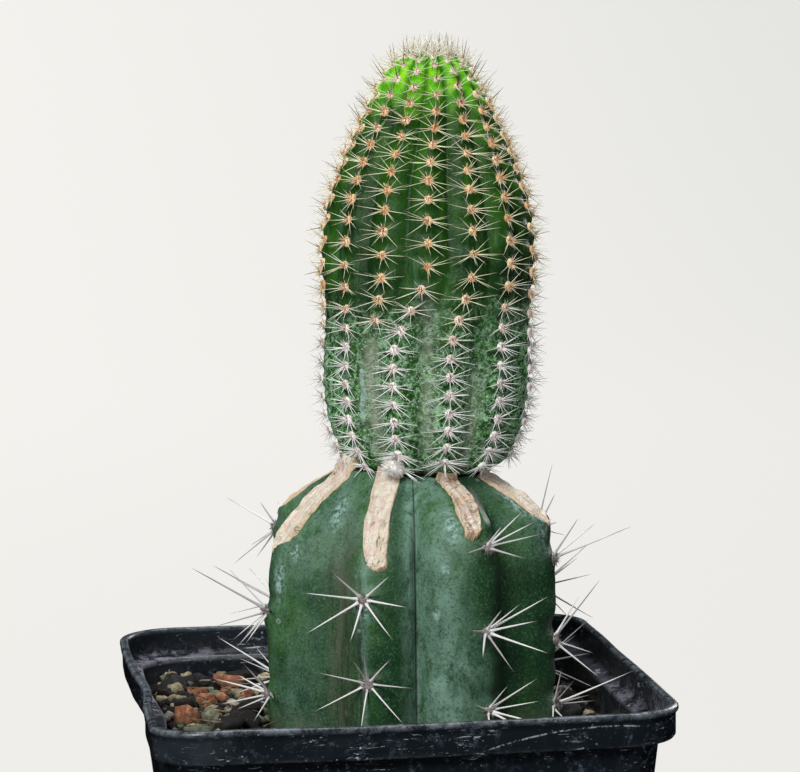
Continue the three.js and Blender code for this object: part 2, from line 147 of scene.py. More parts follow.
def soft_curve(points, x):
    """The value at x of a smooth curve through (x, value) points, which never overshoots them."""
    xs, ys = np.array(points, float).T
    steps = np.diff(xs)
    slopes = np.diff(ys) / steps
    product = slopes[:-1] * slopes[1:]
    total = slopes[:-1] + slopes[1:]
    inner = np.where(product > 0, 2 * product / np.where(total == 0, 1, total), 0)
    tangents = np.concatenate([slopes[:1], inner, slopes[-1:]])
    x = np.clip(x, xs[0], xs[-1])
    i = np.clip(np.searchsorted(xs, x, side="right") - 1, 0, len(steps) - 1)
    t = (x - xs[i]) / steps[i]
    value = ys[i] * (1 + 2 * t) * (1 - t) ** 2 + ys[i + 1] * t * t * (3 - 2 * t)
    return value + steps[i] * (tangents[i] * t * (1 - t) ** 2 - tangents[i + 1] * t * t * (1 - t))


def direction(angle):
    """Unit vectors that lie flat at these angles."""
    a = np.radians(angle)
    return np.stack([np.cos(a), np.sin(a), np.zeros_like(a)], -1)


def unit(vectors):
    return vectors / np.linalg.norm(vectors, axis=-1, keepdims=True)


def turn_between(a, b):
    """How far angle a lies past angle b, from -180 to 180."""
    return (a - b + 180) % 360 - 180


def stripe(angle, centre, width):
    """A soft upright stripe: 1 at its centre and fading to both sides."""
    return bell(turn_between(angle, centre), width)


def stripes(angle, parts):
    """Stripes added up: each part is a strength, a centre and a width."""
    return sum(strength * stripe(angle, centre, width) for strength, centre, width in parts)


class Ripples:
    """Smooth seeded noise in space with a spread of 1: a sum of plane waves."""

    def __init__(self, seed, wavelength, waves=10):
        random = np.random.default_rng(seed)
        lengths = wavelength * random.uniform(0.65, 1.5, (waves, 1))
        self.ways = unit(random.normal(size=(waves, 3))) * 2 * np.pi / lengths
        self.phases = random.uniform(0, 2 * np.pi, waves)

    def __call__(self, points):
        waves = np.sin(points @ self.ways.T + self.phases)
        return waves.sum(-1) * math.sqrt(2 / len(self.phases))


# ---------------------------------------------------------------- meshes


def ring_faces(rings, count):
    """Quads between closed rings of points that run anticlockwise, listed along the body."""
    start = np.arange(rings - 1)[:, None] * count
    step = np.arange(count)[None, :]
    a = start + step
    b = start + (step + 1) % count
    return np.stack([a, b, b + count, a + count], -1).reshape(-1, 4).tolist()


def cap_faces(centre, start, count, upward):
    """Triangles from a centre point to a ring whose points are numbered on from a start."""
    pairs = [(start + i, start + (i + 1) % count) for i in range(count)]
    return [[centre, *(pair if upward else pair[::-1])] for pair in pairs]


def add_object(name, data):
    made = bpy.data.objects.new(name, data)
    bpy.context.scene.collection.objects.link(made)
    return made


def make_mesh(name, points, faces, look):
    """A smooth-shaded object in the scene, from points in metres."""
    mesh = bpy.data.meshes.new(name)
    mesh.from_pydata(points, [], faces)
    mesh.polygons.foreach_set("use_smooth", np.ones(len(mesh.polygons), bool))
    mesh.materials.append(look)
    mesh.update()
    return add_object(name, mesh)


class Piece:
    """Collects closed lumps, with a value per point for each field, into one object."""

    def __init__(self, name, *fields):
        self.name = name
        self.points = []
        self.faces = []
        self.fields = {field: [] for field in fields}
        self.count = 0

    def add(self, points, faces, **values):
        self.points.append(points)
        self.faces.extend([corner + self.count for corner in face] for face in faces)
        for field, stored in self.fields.items():
            stored.append(np.broadcast_to(np.asarray(values[field], float), len(points)))
        self.count += len(points)

    def add_rings(self, rings, **values):
        """A closed body through rings of equal length. Each end is closed by its own centre point."""
        layers, count = rings.shape[:2]
        ends = np.stack([rings[0].mean(0), rings[-1].mean(0)])
        points = np.concatenate([rings.reshape(-1, 3), ends])
        centre = layers * count
        faces = ring_faces(layers, count)
        faces += cap_faces(centre, 0, count, False)
        faces += cap_faces(centre + 1, centre - count, count, True)
        full = {}
        for field in self.fields:
            value = np.broadcast_to(np.asarray(values[field], float), rings.shape[:2])
            full[field] = np.concatenate([value.ravel(), [value[0].mean(), value[-1].mean()]])
        self.add(points, faces, **full)

    def add_needles(self, starts, ends, radii, sides, profile, sag=0.0, **values):
        """Adds a closed tapered needle from each start to each end.

        The profile lists (share of the length, share of the radius) below the pointed tip. Sag bends a
        needle sideways by that share of its length. The field "along" runs from 0 at the root to 1 at
        the tip.
        """
        starts, ends = np.asarray(starts, float), np.asarray(ends, float)
        axis = ends - starts
        length = np.linalg.norm(axis, axis=1, keepdims=True)
        axis = axis / length
        helper = np.where(np.abs(axis[:, 2:]) < 0.9, [[0.0, 0.0, 1.0]], [[1.0, 0.0, 0.0]])
        side = unit(np.cross(axis, helper))
        other = np.cross(axis, side)
        turns = 2 * np.pi * np.arange(sides) / sides
        spokes = side[:, None] * np.cos(turns)[:, None] + other[:, None] * np.sin(turns)[:, None]
        radii = np.broadcast_to(np.asarray(radii, float), len(starts))
        bend = side * length * np.broadcast_to(np.asarray(sag, float), len(starts))[:, None]
        rings = []
        for along, width in profile:
            centre = starts + axis * length * along + bend * 4 * along * (1 - along)
            rings.append(centre[:, None] + spokes * (radii * width)[:, None, None])
        points = np.concatenate([*rings, starts[:, None], ends[:, None]], axis=1)
        each = points.shape[1]
        faces = ring_faces(len(profile), sides)
        faces += cap_faces(each - 2, 0, sides, False)
        faces += cap_faces(each - 1, each - 2 - sides, sides, True)
        along = np.concatenate([np.repeat([share for share, _ in profile], sides), [0.0, 1.0]])
        full = {key: np.repeat(np.broadcast_to(value, len(starts)), each) for key, value in values.items()}
        full["along"] = np.tile(along, len(starts))
        every = []
        for offset in range(0, len(starts) * each, each):
            every.extend([corner + offset for corner in face] for face in faces)
        self.add(points.reshape(-1, 3), every, **full)

    def make(self, look, slot, *replaces):
        made = make_mesh(self.name, (np.concatenate(self.points) * MM).tolist(), self.faces, look)
        for field, stored in self.fields.items():
            attribute = made.data.attributes.new(field, "FLOAT", "POINT")
            attribute.data.foreach_set("value", np.concatenate(stored).astype(np.float32))
        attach(made, "root")
        if replaces:
            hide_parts(*replaces)
        return made


def ball(level):
    """Points and triangles of a unit ball."""
    made = bmesh.new()
    bmesh.ops.create_icosphere(made, subdivisions=level, radius=1.0)
    points = np.array([corner.co[:] for corner in made.verts])
    faces = [[corner.index for corner in face.verts] for face in made.faces]
    made.free()
    return unit(points), faces


class Seat:
    """A place on a standing skin, with directions sideways, up along the skin and out of it."""

    def __init__(self, centre, angle, tilt=0.0):
        lean = np.radians(tilt)
        self.centre = centre
        self.side = direction(angle + 90.0)
        self.out = direction(angle) * np.cos(lean) + np.array([0, 0, 1.0]) * np.sin(lean)
        self.up = np.cross(self.out, self.side)

    def way(self, clock, lift):
        """The unit vector that leaves the skin at a lift, towards a clock angle seen from outside."""
        clock, lift = np.radians(clock), np.radians(lift)
        flat = np.cos(lift)
        return self.side * (flat * np.cos(clock)) + self.up * (flat * np.sin(clock)) + self.out * np.sin(lift)

    def turned(self, local):
        """A step given by its parts sideways, up and out."""
        return local[0] * self.side + local[1] * self.up + local[2] * self.out

    def points(self, local):
        """Points given by their distances sideways, up and out."""
        across, along, outward = local[..., :1], local[..., 1:2], local[..., 2:]
        return self.centre + across * self.side + along * self.up + outward * self.out


# ---------------------------------------------------------------- looks


def paint(red, green, blue):
    """A screen colour, from 0 to 255, as a shader colour."""
    parts = [value / 255 for value in (red, green, blue)]
    return (*[v / 12.92 if v <= 0.04045 else ((v + 0.055) / 1.055) ** 2.4 for v in parts], 1.0)


class Value:
    """A value or colour inside a look. Arithmetic on it adds nodes to the look."""

    def __init__(self, look, socket):
        self.look = look
        self.socket = socket

    def __add__(self, other):
        return self.look.calc("ADD", self, other)

    def __sub__(self, other):
        return self.look.calc("SUBTRACT", self, other)

    def __mul__(self, other):
        return self.look.calc("MULTIPLY", self, other)

    def __abs__(self):
        return self.look.calc("ABSOLUTE", self)

    def maximum(self, other):
        return self.look.calc("MAXIMUM", self, other)

    def spread(self, low, high, to_low=0.0, to_high=1.0):
        """Eases the value from one range to another and holds it there."""
        inputs = {"Value": self, "From Min": low, "From Max": high, "To Min": to_low, "To Max": to_high}
        return self.look.node("MapRange", "Result", inputs, interpolation_type="SMOOTHSTEP", clamp=True)


class Look:
    """A material in the making. Its tone is the colour so far, over which coats are laid.

    Colours are given from 0 to 255, and sizes in millimetres.
    """

    def __init__(self, name, roughness=0.5, specular=0.5):
        self.material = bpy.data.materials.new(name)
        self.material.use_nodes = True
        self.tree = self.material.node_tree
        self.shader = self.tree.nodes["Principled BSDF"]
        self.shader.inputs["Roughness"].default_value = roughness
        self.shader.inputs["Specular IOR Level"].default_value = specular
        self.place = self.node("TexCoord", "Object")
        self.tone = None

    def node(self, kind, output, inputs=None, **settings):
        made = self.tree.nodes.new(f"ShaderNode{kind}")
        for key, value in settings.items():
            setattr(made, key, value)
        for key, value in (inputs or {}).items():
            self.feed(made.inputs[key], value)
        return Value(self, made.outputs[output])

    def feed(self, socket, value):
        if isinstance(value, Value):
            self.tree.links.new(value.socket, socket)
        else:
            socket.default_value = value

    def colour(self, value):
        return value if isinstance(value, Value) else paint(*value)

    def calc(self, operation, a, b=0.0):
        return self.node("Math", "Value", {0: a, 1: b}, operation=operation)

    def fields(self, *names):
        return [self.node("Attribute", "Fac", attribute_name=name) for name in names]

    def xyz(self):
        """The place, in metres, as three values."""
        split = self.tree.nodes.new("ShaderNodeSeparateXYZ")
        self.feed(split.inputs["Vector"], self.place)
        return [Value(self, output) for output in split.outputs]

    def across(self, x, y):
        """Two fields as a texture's place."""
        return self.node("CombineXYZ", "Vector", {"X": x, "Y": y})

    def noise(self, size, detail=3.0, roughness=0.55, distortion=0.0, stretch=None, place=None):
        """Noise from 0 to 1 with blobs of a size, in the part or at a place made of fields."""
        vector = place or self.place
        if stretch:
            vector = self.node("Mapping", "Vector", {"Vector": self.place, "Scale": stretch})
        inputs = {
            "Vector": vector,
            "Scale": 1 / (size if place else size * MM),
            "Detail": detail,
            "Roughness": roughness,
            "Distortion": distortion,
        }
        return self.node("TexNoise", "Fac", inputs)

    def bent(self, size, reach):
        """The place, shifted this way and that by up to half a reach."""
        inputs = {"Vector": self.place, "Scale": 1 / (size * MM), "Detail": 3.0}
        waves = self.node("TexNoise", "Color", inputs)
        inputs = {0: waves, 1: (reach * MM,) * 3, 2: self.place}
        return self.node("VectorMath", "Vector", inputs, operation="MULTIPLY_ADD")

    def cells(self, size, feature="F1", place=None):
        inputs = {"Vector": place or self.place, "Scale": 1 / (size * MM)}
        return self.node("TexVoronoi", "Distance", inputs, feature=feature)

    def mix(self, share, a, b):
        inputs = {0: share, 6: self.colour(a), 7: self.colour(b)}
        return self.node("Mix", 2, inputs, data_type="RGBA", clamp_factor=True)

    def coat(self, share, colour):
        """Lays a colour over the tone, by a share from 0 to 1."""
        self.tone = self.mix(share, self.tone, colour)

    def ramp(self, value, stops, blend="LINEAR"):
        """A colour for each value, through (value, colour) stops in rising order."""
        made = self.tree.nodes.new("ShaderNodeValToRGB")
        self.feed(made.inputs["Fac"], value)
        line = made.color_ramp
        line.interpolation = blend
        for place, _ in stops[1:-1]:
            line.elements.new(place)
        for element, (place, colour) in zip(line.elements, stops):
            element.position = place
            element.color = paint(*colour)
        return Value(self, made.outputs["Color"])

    def bump(self, height, depth, strength=1.0, over=None):
        """Relief of a depth, over another relief if one is given."""
        inputs = {"Height": height, "Distance": depth * MM, "Strength": strength}
        if over:
            inputs["Normal"] = over
        return self.node("Bump", "Normal", inputs)

    def finish(self, **sockets):
        """Wires the tone and any other values to the shader, and gives back the material."""
        self.feed(self.shader.inputs["Base Color"], self.colour(self.tone))
        for key, value in sockets.items():
            self.feed(self.shader.inputs[key], value)
        return self.material


# The long scratch on the pot's front: its highest point, and its drop per square of the distance from there.
SCRATCH_PEAK_X = 31.0
SCRATCH_PEAK_Z = 88.0
SCRATCH_CURVE = 0.0074


def pot_look():
    look = Look("pot_plastic_look", specular=0.36)
    x, y, z = look.xyz()
    wear, dust = look.fields("wear", "dust")
    grain = look.noise(1.1, 5, 0.7)
    fine = look.noise(0.35, 3, 0.6)
    look.tone = look.mix(look.noise(22, 4, 0.6), (8, 14, 19), (24, 32, 39))
    # thin mineral film in drifting patches, with dried drops
    film = look.noise(7, 6, 0.72, 1.5).spread(0.48, 0.72) * grain.spread(0.46, 0.68)
    look.coat(film * 0.6, (106, 118, 134))
    look.coat(look.noise(26, 5, 0.62, 0.8).spread(0.46, 0.74, 0.0, 0.14), (96, 104, 114))
    specks = look.cells(0.8).spread(0.22, 0.1) * look.noise(6, 4, 0.65).spread(0.5, 0.62)
    look.coat(specks * grain.spread(0.45, 0.6) * 0.85, (152, 163, 178))
    drops = look.cells(1.7).spread(0.17, 0.07) * look.noise(9, 3).spread(0.53, 0.64)
    look.coat(drops * fine.spread(0.35, 0.6) * 0.85, (160, 171, 186))
    # fine scuffs, most of them along the band
    scuff = look.noise(0.5, 4, 0.75, 0.6, stretch=(0.16, 0.16, 1.0))
    handled = look.noise(9, 3, 0.6) + z.spread(81 * MM, 85 * MM, 0.0, 0.07)
    look.coat(scuff.spread(0.6, 0.7) * handled.spread(0.5, 0.64) * 0.92, (186, 195, 206))
    # faint runs of dried water down the sides, and dust round the foot
    runs = look.noise(3.4, 5, 0.65, stretch=(1, 1, 0.07)).spread(0.52, 0.7)
    runs = runs * look.noise(24, 2).spread(0.46, 0.6)
    look.coat(runs * z.spread(86 * MM, 78 * MM) * 0.3, (104, 110, 118))
    foot = z.spread(13 * MM, 1 * MM) * look.noise(5, 6, 0.7).spread(0.36, 0.66)
    look.coat(foot * 0.4, (104, 96, 88))
    # one long scratch that arches over the front of the band
    reach = x - SCRATCH_PEAK_X * MM
    arch = reach * reach * (-SCRATCH_CURVE / MM)
    near = abs(z - SCRATCH_PEAK_Z * MM - arch).spread(0.2 * MM, 0.05 * MM)
    front = y.spread(-44.0 * MM, -44.4 * MM) * x.spread(9 * MM, 13 * MM)
    scratch = near * front * look.noise(1.1, 5, 0.75).spread(0.42, 0.6)
    look.coat(scratch * 0.7, (170, 178, 186))
    # rubbed wear round the foot, and painted highlight along the rim's edges
    worn_and_lit = wear * look.noise(2.6, 6, 0.75).spread(0.36, 0.62)
    look.coat(worn_and_lit * 0.85, look.mix(grain, (84, 94, 102), (150, 158, 164)))
    dusty = dust * look.noise(3.2, 7, 0.78, 0.4).spread(0.43, 0.56)
    look.coat(dusty * 0.9, look.mix(fine, (108, 104, 120), (190, 186, 204)))
    rough = (film * 0.5 + dusty).spread(0.0, 0.9, 0.3, 0.85)
    relief = look.bump(look.noise(3.5, 3, 0.6), 0.25, 0.5)
    return look.finish(Roughness=rough, Normal=look.bump(grain, 0.05, 0.7, over=relief))


def soil_look():
    look = Look("humus_look", 0.95)
    crumbs = look.noise(1.3, 6, 0.75)
    look.tone = look.ramp(crumbs, [(0.3, (8, 7, 6)), (0.5, (20, 16, 14)), (0.64, (50, 39, 32))])
    look.coat(look.cells(0.8).spread(0.12, 0.05) * 0.4, (126, 112, 96))
    return look.finish(Normal=look.bump(crumbs, 0.9))


def stone_look(name, roughness, dark, base, light, speck):
    """Broken mineral: mottled, with specks, soiled in patches, and with painted shade low down."""
    look = Look(name, roughness)
    seed, low = look.fields("seed", "low")
    patches = look.noise(1.9, 5, 0.65, 0.4)
    grain = look.noise(0.32, 4, 0.7)
    look.tone = look.ramp(patches, [(0.28, dark), (0.5, base), (0.72, light)])
    look.coat(seed.spread(0.0, 1.0, 0.0, 0.5), dark)
    specks = look.cells(0.55).spread(0.2, 0.1) * grain.spread(0.4, 0.6)
    look.coat(specks * 0.7, speck)
    # mud in patches, and painted shade low down where the stone meets the soil
    mud = look.noise(1.2, 5, 0.65).spread(0.42, 0.62, 0.0, 0.6)
    look.coat(mud.maximum(low * patches.spread(0.2, 0.45)) * 0.72, (18, 15, 13))
    relief = look.bump(patches, 0.5, 0.6)
    return look.finish(Normal=look.bump(grain, 0.16, 0.9, over=relief))


def fibre_look():
    look = Look("root_fibre_look", 0.8)
    (seed,) = look.fields("seed")
    look.tone = look.mix(seed, (92, 72, 54), (196, 176, 146))
    look.coat(look.noise(0.9, 3, 0.6), (60, 48, 40))
    return look.finish()


# where a fine crease with painted shade runs beside rib a's crest
SHADED_CREASE_ANGLE = -118.2


def stock_look():
    look = Look("rootstock_skin_look", specular=0.34)
    x, y, z = look.xyz()
    furrow, bloom_and_highlight, cork, cut, chalk_and_highlight, painted_shade = look.fields("furrow", "bloom_and_highlight", "cork", "cut", "chalk_and_highlight", "painted_shade")
    cloud = look.noise(11, 3, 0.55, stretch=(1, 1, 0.6))
    patch = look.noise(2.8, 6, 0.7, 0.15, stretch=(1, 1, 0.75))
    grain = look.noise(0.4, 5, 0.75)
    look.tone = look.ramp(cloud, [(0.34, (18, 54, 34)), (0.5, (28, 70, 36)), (0.66, (46, 90, 34))])
    look.coat(patch.spread(0.46, 0.7, 0.0, 0.36), (56, 98, 62))
    look.coat(patch.spread(0.48, 0.34, 0.0, 0.5), (20, 46, 32))
    # waxy grey-green bloom, rubbed away in patches, and painted highlight: lit flanks, a lit band beside one
    # crease and a glossy line along one crest
    waxy_and_highlight = bloom_and_highlight * look.noise(3.4, 8, 0.78, 0.2, stretch=(1, 1, 0.6)).spread(0.3, 0.62)
    waxy_and_highlight = waxy_and_highlight * grain.spread(0.34, 0.52, 0.6, 1.0)
    look.coat(waxy_and_highlight * 0.84, (116, 152, 137))
    # painted shade on the flanks that turn away from the light
    look.coat(painted_shade * 0.62, (16, 55, 41))
    # leathery grain of fine pale and dark points
    look.coat(grain.spread(0.5, 0.66, 0.0, 0.5), (104, 138, 100))
    look.coat(look.noise(0.6, 4, 0.7).spread(0.47, 0.34, 0.0, 0.6), (14, 40, 24))
    # painted shade down in the creases, and a fine crease beside one crest, dented and darkened with painted
    # shade
    look.coat(furrow.spread(0.96, 0.995, 0.0, 0.85), (12, 42, 34))
    turn = look.calc("ARCTAN2", y - STOCK_Y * MM, x - STOCK_X * MM)
    wobble = (look.noise(9, 2) - 0.5) * 0.06
    off_crease = abs(turn - math.radians(SHADED_CREASE_ANGLE) + wobble)
    shaded_crease = off_crease.spread(0.022, 0.006) * z.spread(112 * MM, 106 * MM)
    look.coat(shaded_crease * 0.7, (26, 34, 26))
    # corky brown-grey streaks of old skin
    old = cork * look.noise(1.5, 4, 0.65, 0.3, stretch=(1, 1, 0.12)).spread(0.3, 0.66)
    look.coat(old * 0.85, look.mix(grain, (66, 68, 56), (112, 114, 98)))
    # fine pale stippling of breathing pores, and dried water marks
    pores = look.cells(0.55).spread(0.16, 0.06) * patch.spread(0.42, 0.6)
    look.coat(pores * 0.34, (150, 176, 150))
    drops = look.cells(5.2)
    marks = drops.spread(0.13, 0.08) * drops.spread(0.03, 0.08) * look.noise(11, 2).spread(0.5, 0.62)
    look.coat(marks * 0.6, (176, 194, 188))
    # dry lime bloom round old wounds, and painted highlight: bluish-white glints on the waxy skin
    look.coat(chalk_and_highlight * look.noise(1.0, 7, 0.8, 0.2).spread(0.46, 0.57) * 0.8, (170, 200, 200))
    # the flat cut on top, with a ragged edge: dried flesh, darkened nearly to black as painted shade under
    # the scion
    ragged = cut + (look.noise(1.3, 4, 0.65) - 0.5) * 1.3
    look.coat(ragged.spread(0.4, 0.6), look.mix(patch, (10, 11, 8), (44, 36, 26)))
    rough = (waxy_and_highlight * 0.6 + old).spread(0.0, 1.0, 0.45, 0.75)
    relief = look.bump(look.noise(1.7, 4, 0.6, stretch=(1, 1, 0.5)), 0.35, 0.5)
    return look.finish(Roughness=rough, Normal=look.bump(grain - shaded_crease, 0.1, 0.8, over=relief))


def stock_spine_look():
    look = Look("rootstock_spine_look", 0.42)
    along, seed = look.fields("along", "seed")
    streaks = look.noise(0.9, 4, 0.6, stretch=(1, 1, 0.5))
    look.tone = look.mix(streaks, (206, 205, 206), (248, 247, 246))
    look.coat(seed.spread(0.5, 1.0, 0.0, 0.7), (124, 120, 120))
    look.coat(along.spread(0.03, 0.0, 0.0, 0.6), (96, 84, 76))
    tip = along.spread(seed.spread(0.0, 1.0, 0.86, 0.5), 1.0, 0.0, 0.85)
    look.coat(tip, (52, 44, 42))
    return look.finish(Normal=look.bump(streaks, 0.06, 0.5))


def felt_look(name, dark, light):
    look = Look(name, 0.95)
    seed, along = look.fields("seed", "along")
    look.tone = look.mix(look.noise(0.4, 3, 0.6), dark, light)
    look.coat(seed.spread(0.0, 1.0, 0.0, 0.5), light)
    look.coat(along.spread(0.5, 0.0, 0.0, 0.5), dark)
    return look.finish()


def cork_look():
    look = Look("cork_look", 0.85)
    along, across, edge, seed, stepped = look.fields("along", "across", "edge", "seed", "rungs")
    shift = seed * 40.0
    flow = look.across(along * 0.22 + shift, across)
    grain = look.noise(0.42, 6, 0.7, 1.6, place=flow)
    coarse = look.noise(1.6, 4, 0.65, 1.2, place=flow)
    mottle = look.noise(2.4, 4, 0.6)
    look.tone = look.ramp(coarse, [(0.3, (196, 182, 158)), (0.5, (226, 216, 198)), (0.7, (240, 234, 224))])
    look.coat(grain.spread(0.52, 0.34, 0.0, 0.3), (158, 132, 104))
    # rosy, olive and amber patches
    look.coat(look.noise(3.0, 3, 0.6).spread(0.5, 0.62, 0.0, 0.5), (214, 180, 170))
    olive = look.noise(3.4, 4, 0.65, 0.6).spread(0.54, 0.62) * across.spread(0.2, 1.2)
    look.coat(olive * 0.55, (150, 142, 100))
    look.coat(mottle.spread(0.5, 0.6) * stepped.spread(0.3, 1.0) * 0.4, (222, 170, 118))
    # dark cracks that run along the scar, and short ones across it
    split = abs(look.noise(1.5, 3, 0.6, 1.6, place=flow) - 0.5)
    cracks = split.spread(0.012, 0.002) * coarse.spread(0.49, 0.38)
    look.coat(cracks * 0.8, (82, 54, 36))
    level = look.across(along + shift, across * 0.3)
    rung = abs(look.noise(1.9, 2, 0.6, 1.0, place=level) - 0.5)
    rungs = rung.spread(0.022, 0.006) * stepped
    look.coat(rungs * 0.8, (140, 84, 46))
    # golden lips, with moss beside them
    lips = edge.spread(0.76, 0.95) * coarse.spread(0.34, 0.56, 0.35, 1.0)
    look.coat(lips * 0.8, look.mix(grain, (178, 138, 88), (222, 194, 148)))
    look.coat(mottle.spread(0.56, 0.68) * edge.spread(0.2, 0.8) * 0.5, (98, 104, 62))
    return look.finish(Normal=look.bump(grain - (cracks * 0.8 + rungs * 0.5), 0.3, 0.9))


def scion_look():
    look = Look("scion_skin_look", specular=0.26)
    z = look.xyz()[2]
    furrow, cork, young, waxed = look.fields("furrow", "cork", "young", "drip")
    level = z + (look.noise(9, 4, 0.6) - 0.5) * (22 * MM)
    old = level.spread(169 * MM, 140 * MM) + (look.noise(2.2, 6, 0.74) - 0.5) * 2.2
    old = old.spread(0.3, 0.75)
    cloud = look.noise(7, 4, 0.6, 0.4, stretch=(1, 1, 0.5))
    streak = look.noise(1.4, 4, 0.6, 0.4, stretch=(1, 1, 0.16))
    grain = look.noise(0.4, 4, 0.65)
    look.tone = look.ramp(cloud, [(0.32, (12, 38, 18)), (0.5, (22, 58, 20)), (0.7, (38, 82, 22))])
    fresh = look.ramp(cloud, [(0.32, (14, 50, 4)), (0.5, (28, 76, 4)), (0.7, (50, 104, 4))])
    look.coat(z.spread(156 * MM, 184 * MM), fresh)
    look.coat(streak.spread(0.52, 0.7, 0.0, 0.4) * z.spread(185 * MM, 162 * MM), (76, 124, 82))
    # painted shade down the furrows
    look.coat(furrow.spread(0.72, 1.0, 0.0, 0.5), (14, 44, 22))
    # pale corky network over the old skin, with islands of fresh green
    net = look.noise(1.1, 6, 0.72, 0.4)
    scaly = look.cells(0.62).spread(0.3, 0.2) * look.noise(1.5, 3, 0.6).spread(0.46, 0.58)
    aged = look.ramp(net, [(0.43, (14, 58, 6)), (0.5, (50, 110, 30)), (0.58, (146, 188, 148))])
    aged = look.mix(look.noise(3.0, 5, 0.7).spread(0.52, 0.62, 0.0, 0.8), aged, (34, 88, 16))
    veins = look.cells(1.25, "DISTANCE_TO_EDGE", look.bent(1.3, 1.1)).spread(0.15, 0.05)
    veins = veins * look.noise(2.3, 4, 0.65).spread(0.42, 0.56)
    aged = look.mix(veins * 0.55, aged, (158, 192, 170))
    aged = look.mix(scaly * 0.9, aged, (204, 226, 214))
    look.coat(old * level.spread(163 * MM, 138 * MM, 0.3, 0.96), aged)
    # one bluish streak of wax that has run down a flank
    drip = (waxed * look.noise(1.6, 5, 0.75)).spread(0.2, 0.36)
    look.coat(drip * grain.spread(0.3, 0.6) * 0.8, (164, 196, 190))
    # scurfy grey stripes down old furrows
    scurf = cork * streak.spread(0.25, 0.55)
    look.coat(scurf * 0.85, look.mix(grain, (98, 112, 92), (180, 186, 168)))
    # lime growth at the tip, with painted shade down its furrows
    lime_tones = [(0.35, (76, 170, 0)), (0.5, (102, 196, 0)), (0.7, (150, 220, 20))]
    lime = look.ramp(look.noise(2.6, 3, 0.6), lime_tones)
    look.coat(young, look.mix(furrow.spread(0.4, 1.0, 0.0, 0.85), lime, (30, 96, 4)))
    look.coat(grain.spread(0.6, 0.75) * 0.16, (190, 210, 180))
    rough = (old * 0.5 + scurf).spread(0.0, 1.0, 0.4, 0.75)
    relief = look.bump(net + (scaly + veins) * old + streak * 0.6, 0.3, 0.7)
    return look.finish(Roughness=rough, Normal=look.bump(grain, 0.06, 0.6, over=relief))


def scion_spine_look():
    look = Look("scion_spine_look", 0.45)
    along, seed, old, dark = look.fields("along", "seed", "old", "dark")
    look.tone = look.mix(seed, (240, 236, 196), (255, 253, 230))
    look.coat(old, look.mix(seed, (244, 241, 240), (255, 255, 255)))
    look.coat(along.spread(0.14, 0.0, 0.0, 0.6) * old.spread(1.0, 0.0, 0.1, 1.0), (206, 140, 88))
    look.coat(dark, look.mix(along.spread(0.0, 0.6), (160, 96, 72), (70, 38, 28)))
    tips = along.spread(old.spread(0.0, 1.0, 0.5, 0.85), 1.0, 0.0, 0.5)
    look.coat(tips, look.mix(old, (132, 88, 66), (212, 202, 198)))
    return look.finish()


def scion_wool_look():
    look = Look("scion_wool_look", 0.95)
    along, seed, old, core = look.fields("along", "seed", "old", "core")
    look.tone = look.mix(seed, (216, 164, 112), (246, 220, 178))
    look.coat(old, look.mix(seed, (222, 208, 202), (255, 250, 248)))
    look.coat(along.spread(0.55, 1.0, 0.0, 0.6), (250, 240, 220))
    look.coat(core * 0.9, look.mix(old, (122, 42, 22), (128, 84, 70)))
    return look.finish()


STAGE_GLOW_START = 0.1  # metres from the middle of the pot
STAGE_GLOW_END = 0.3


def stage_look():
    """Pale paper: it takes the shadow under the pot and glows further off, with painted shade laid into the
    glow.
    """
    look = Look("studio_paper_look", 0.9)
    x, y, z = look.xyz()
    away = look.calc("SQRT", x * x + y * y)
    far = away.spread(STAGE_GLOW_START, STAGE_GLOW_END).maximum(z.spread(0.0, 0.05))
    # painted shade: a little darker to the right, up the wall and close to the pot
    painted_shade = x.spread(-0.3, 1.5, 0.0, 1.2) + away.spread(1.3, 0.2, 0.0, 0.22) + z.spread(0.0, 0.9, 0.0, 0.12)
    tones = [(0.0, (246, 244, 240)), (0.2, (242, 239, 235)), (0.42, (236, 235, 231))]
    tones += [(0.62, (230, 230, 226)), (1.0, (224, 225, 221))]
    look.tone = (240, 237, 232)
    material = look.finish()
    glow = look.node("Emission", "Emission", {"Color": look.ramp(painted_shade, tones, "B_SPLINE")})
    paper = Value(look, look.shader.outputs["BSDF"])
    blend = look.node("MixShader", "Shader", {0: far, 1: paper, 2: glow})
    look.feed(look.tree.nodes["Material Output"].inputs["Surface"], blend)
    material.cycles.emission_sampling = "NONE"
    return material


# ---------------------------------------------------------------- pot

POT_BODY_TOP_Z = POT_HEIGHT - POT_BAND
RIM_HALF = POT_RIM / 2
BAND_HALF = RIM_HALF - POT_LIP
SIDE_POINTS = 44
CORNER_POINTS = 18

# How far the worn left rim bulges out, along its run from front to back.
LEFT_RIM_BULGE = [
    (-45, 0), (-34, 0.2), (-22, -0.1), (-10, -0.45), (2, -0.2),
    (8, 0.35), (15, 0.75), (25, 1.1), (38, 0.8), (45, 0),
]


def square_ring(half, radius, z):
    """Points round a square with rounded corners, anticlockwise from the middle of its +X side."""
    flat = half - radius
    side = np.linspace(-flat, flat, SIDE_POINTS, endpoint=False)
    arc = np.linspace(0, np.pi / 2, CORNER_POINTS, endpoint=False)
    x = np.concatenate([np.full(SIDE_POINTS, half), flat + radius * np.cos(arc)])
    y = np.concatenate([side, flat + radius * np.sin(arc)])
    quarters = []
    for turn in np.radians([0.0, 90.0, 180.0, 270.0]):
        cos, sin = np.cos(turn), np.sin(turn)
        quarters.append(np.stack([x * cos - y * sin, x * sin + y * cos], -1))
    ring = np.concatenate(quarters)
    return np.concatenate([ring, np.full((len(ring), 1), z)], -1)


def pot_body_half(z):
    return RIM_HALF - POT_OVERHANG - POT_TAPER * (POT_BODY_TOP_Z - z)


def pot_inside(z, inset):
    radius = lerp(POT_FOOT_CORNER, POT_CORNER - 1.5, z / POT_BODY_TOP_Z)
    return square_ring(pot_body_half(z) - POT_WALL - inset, radius - inset, z)


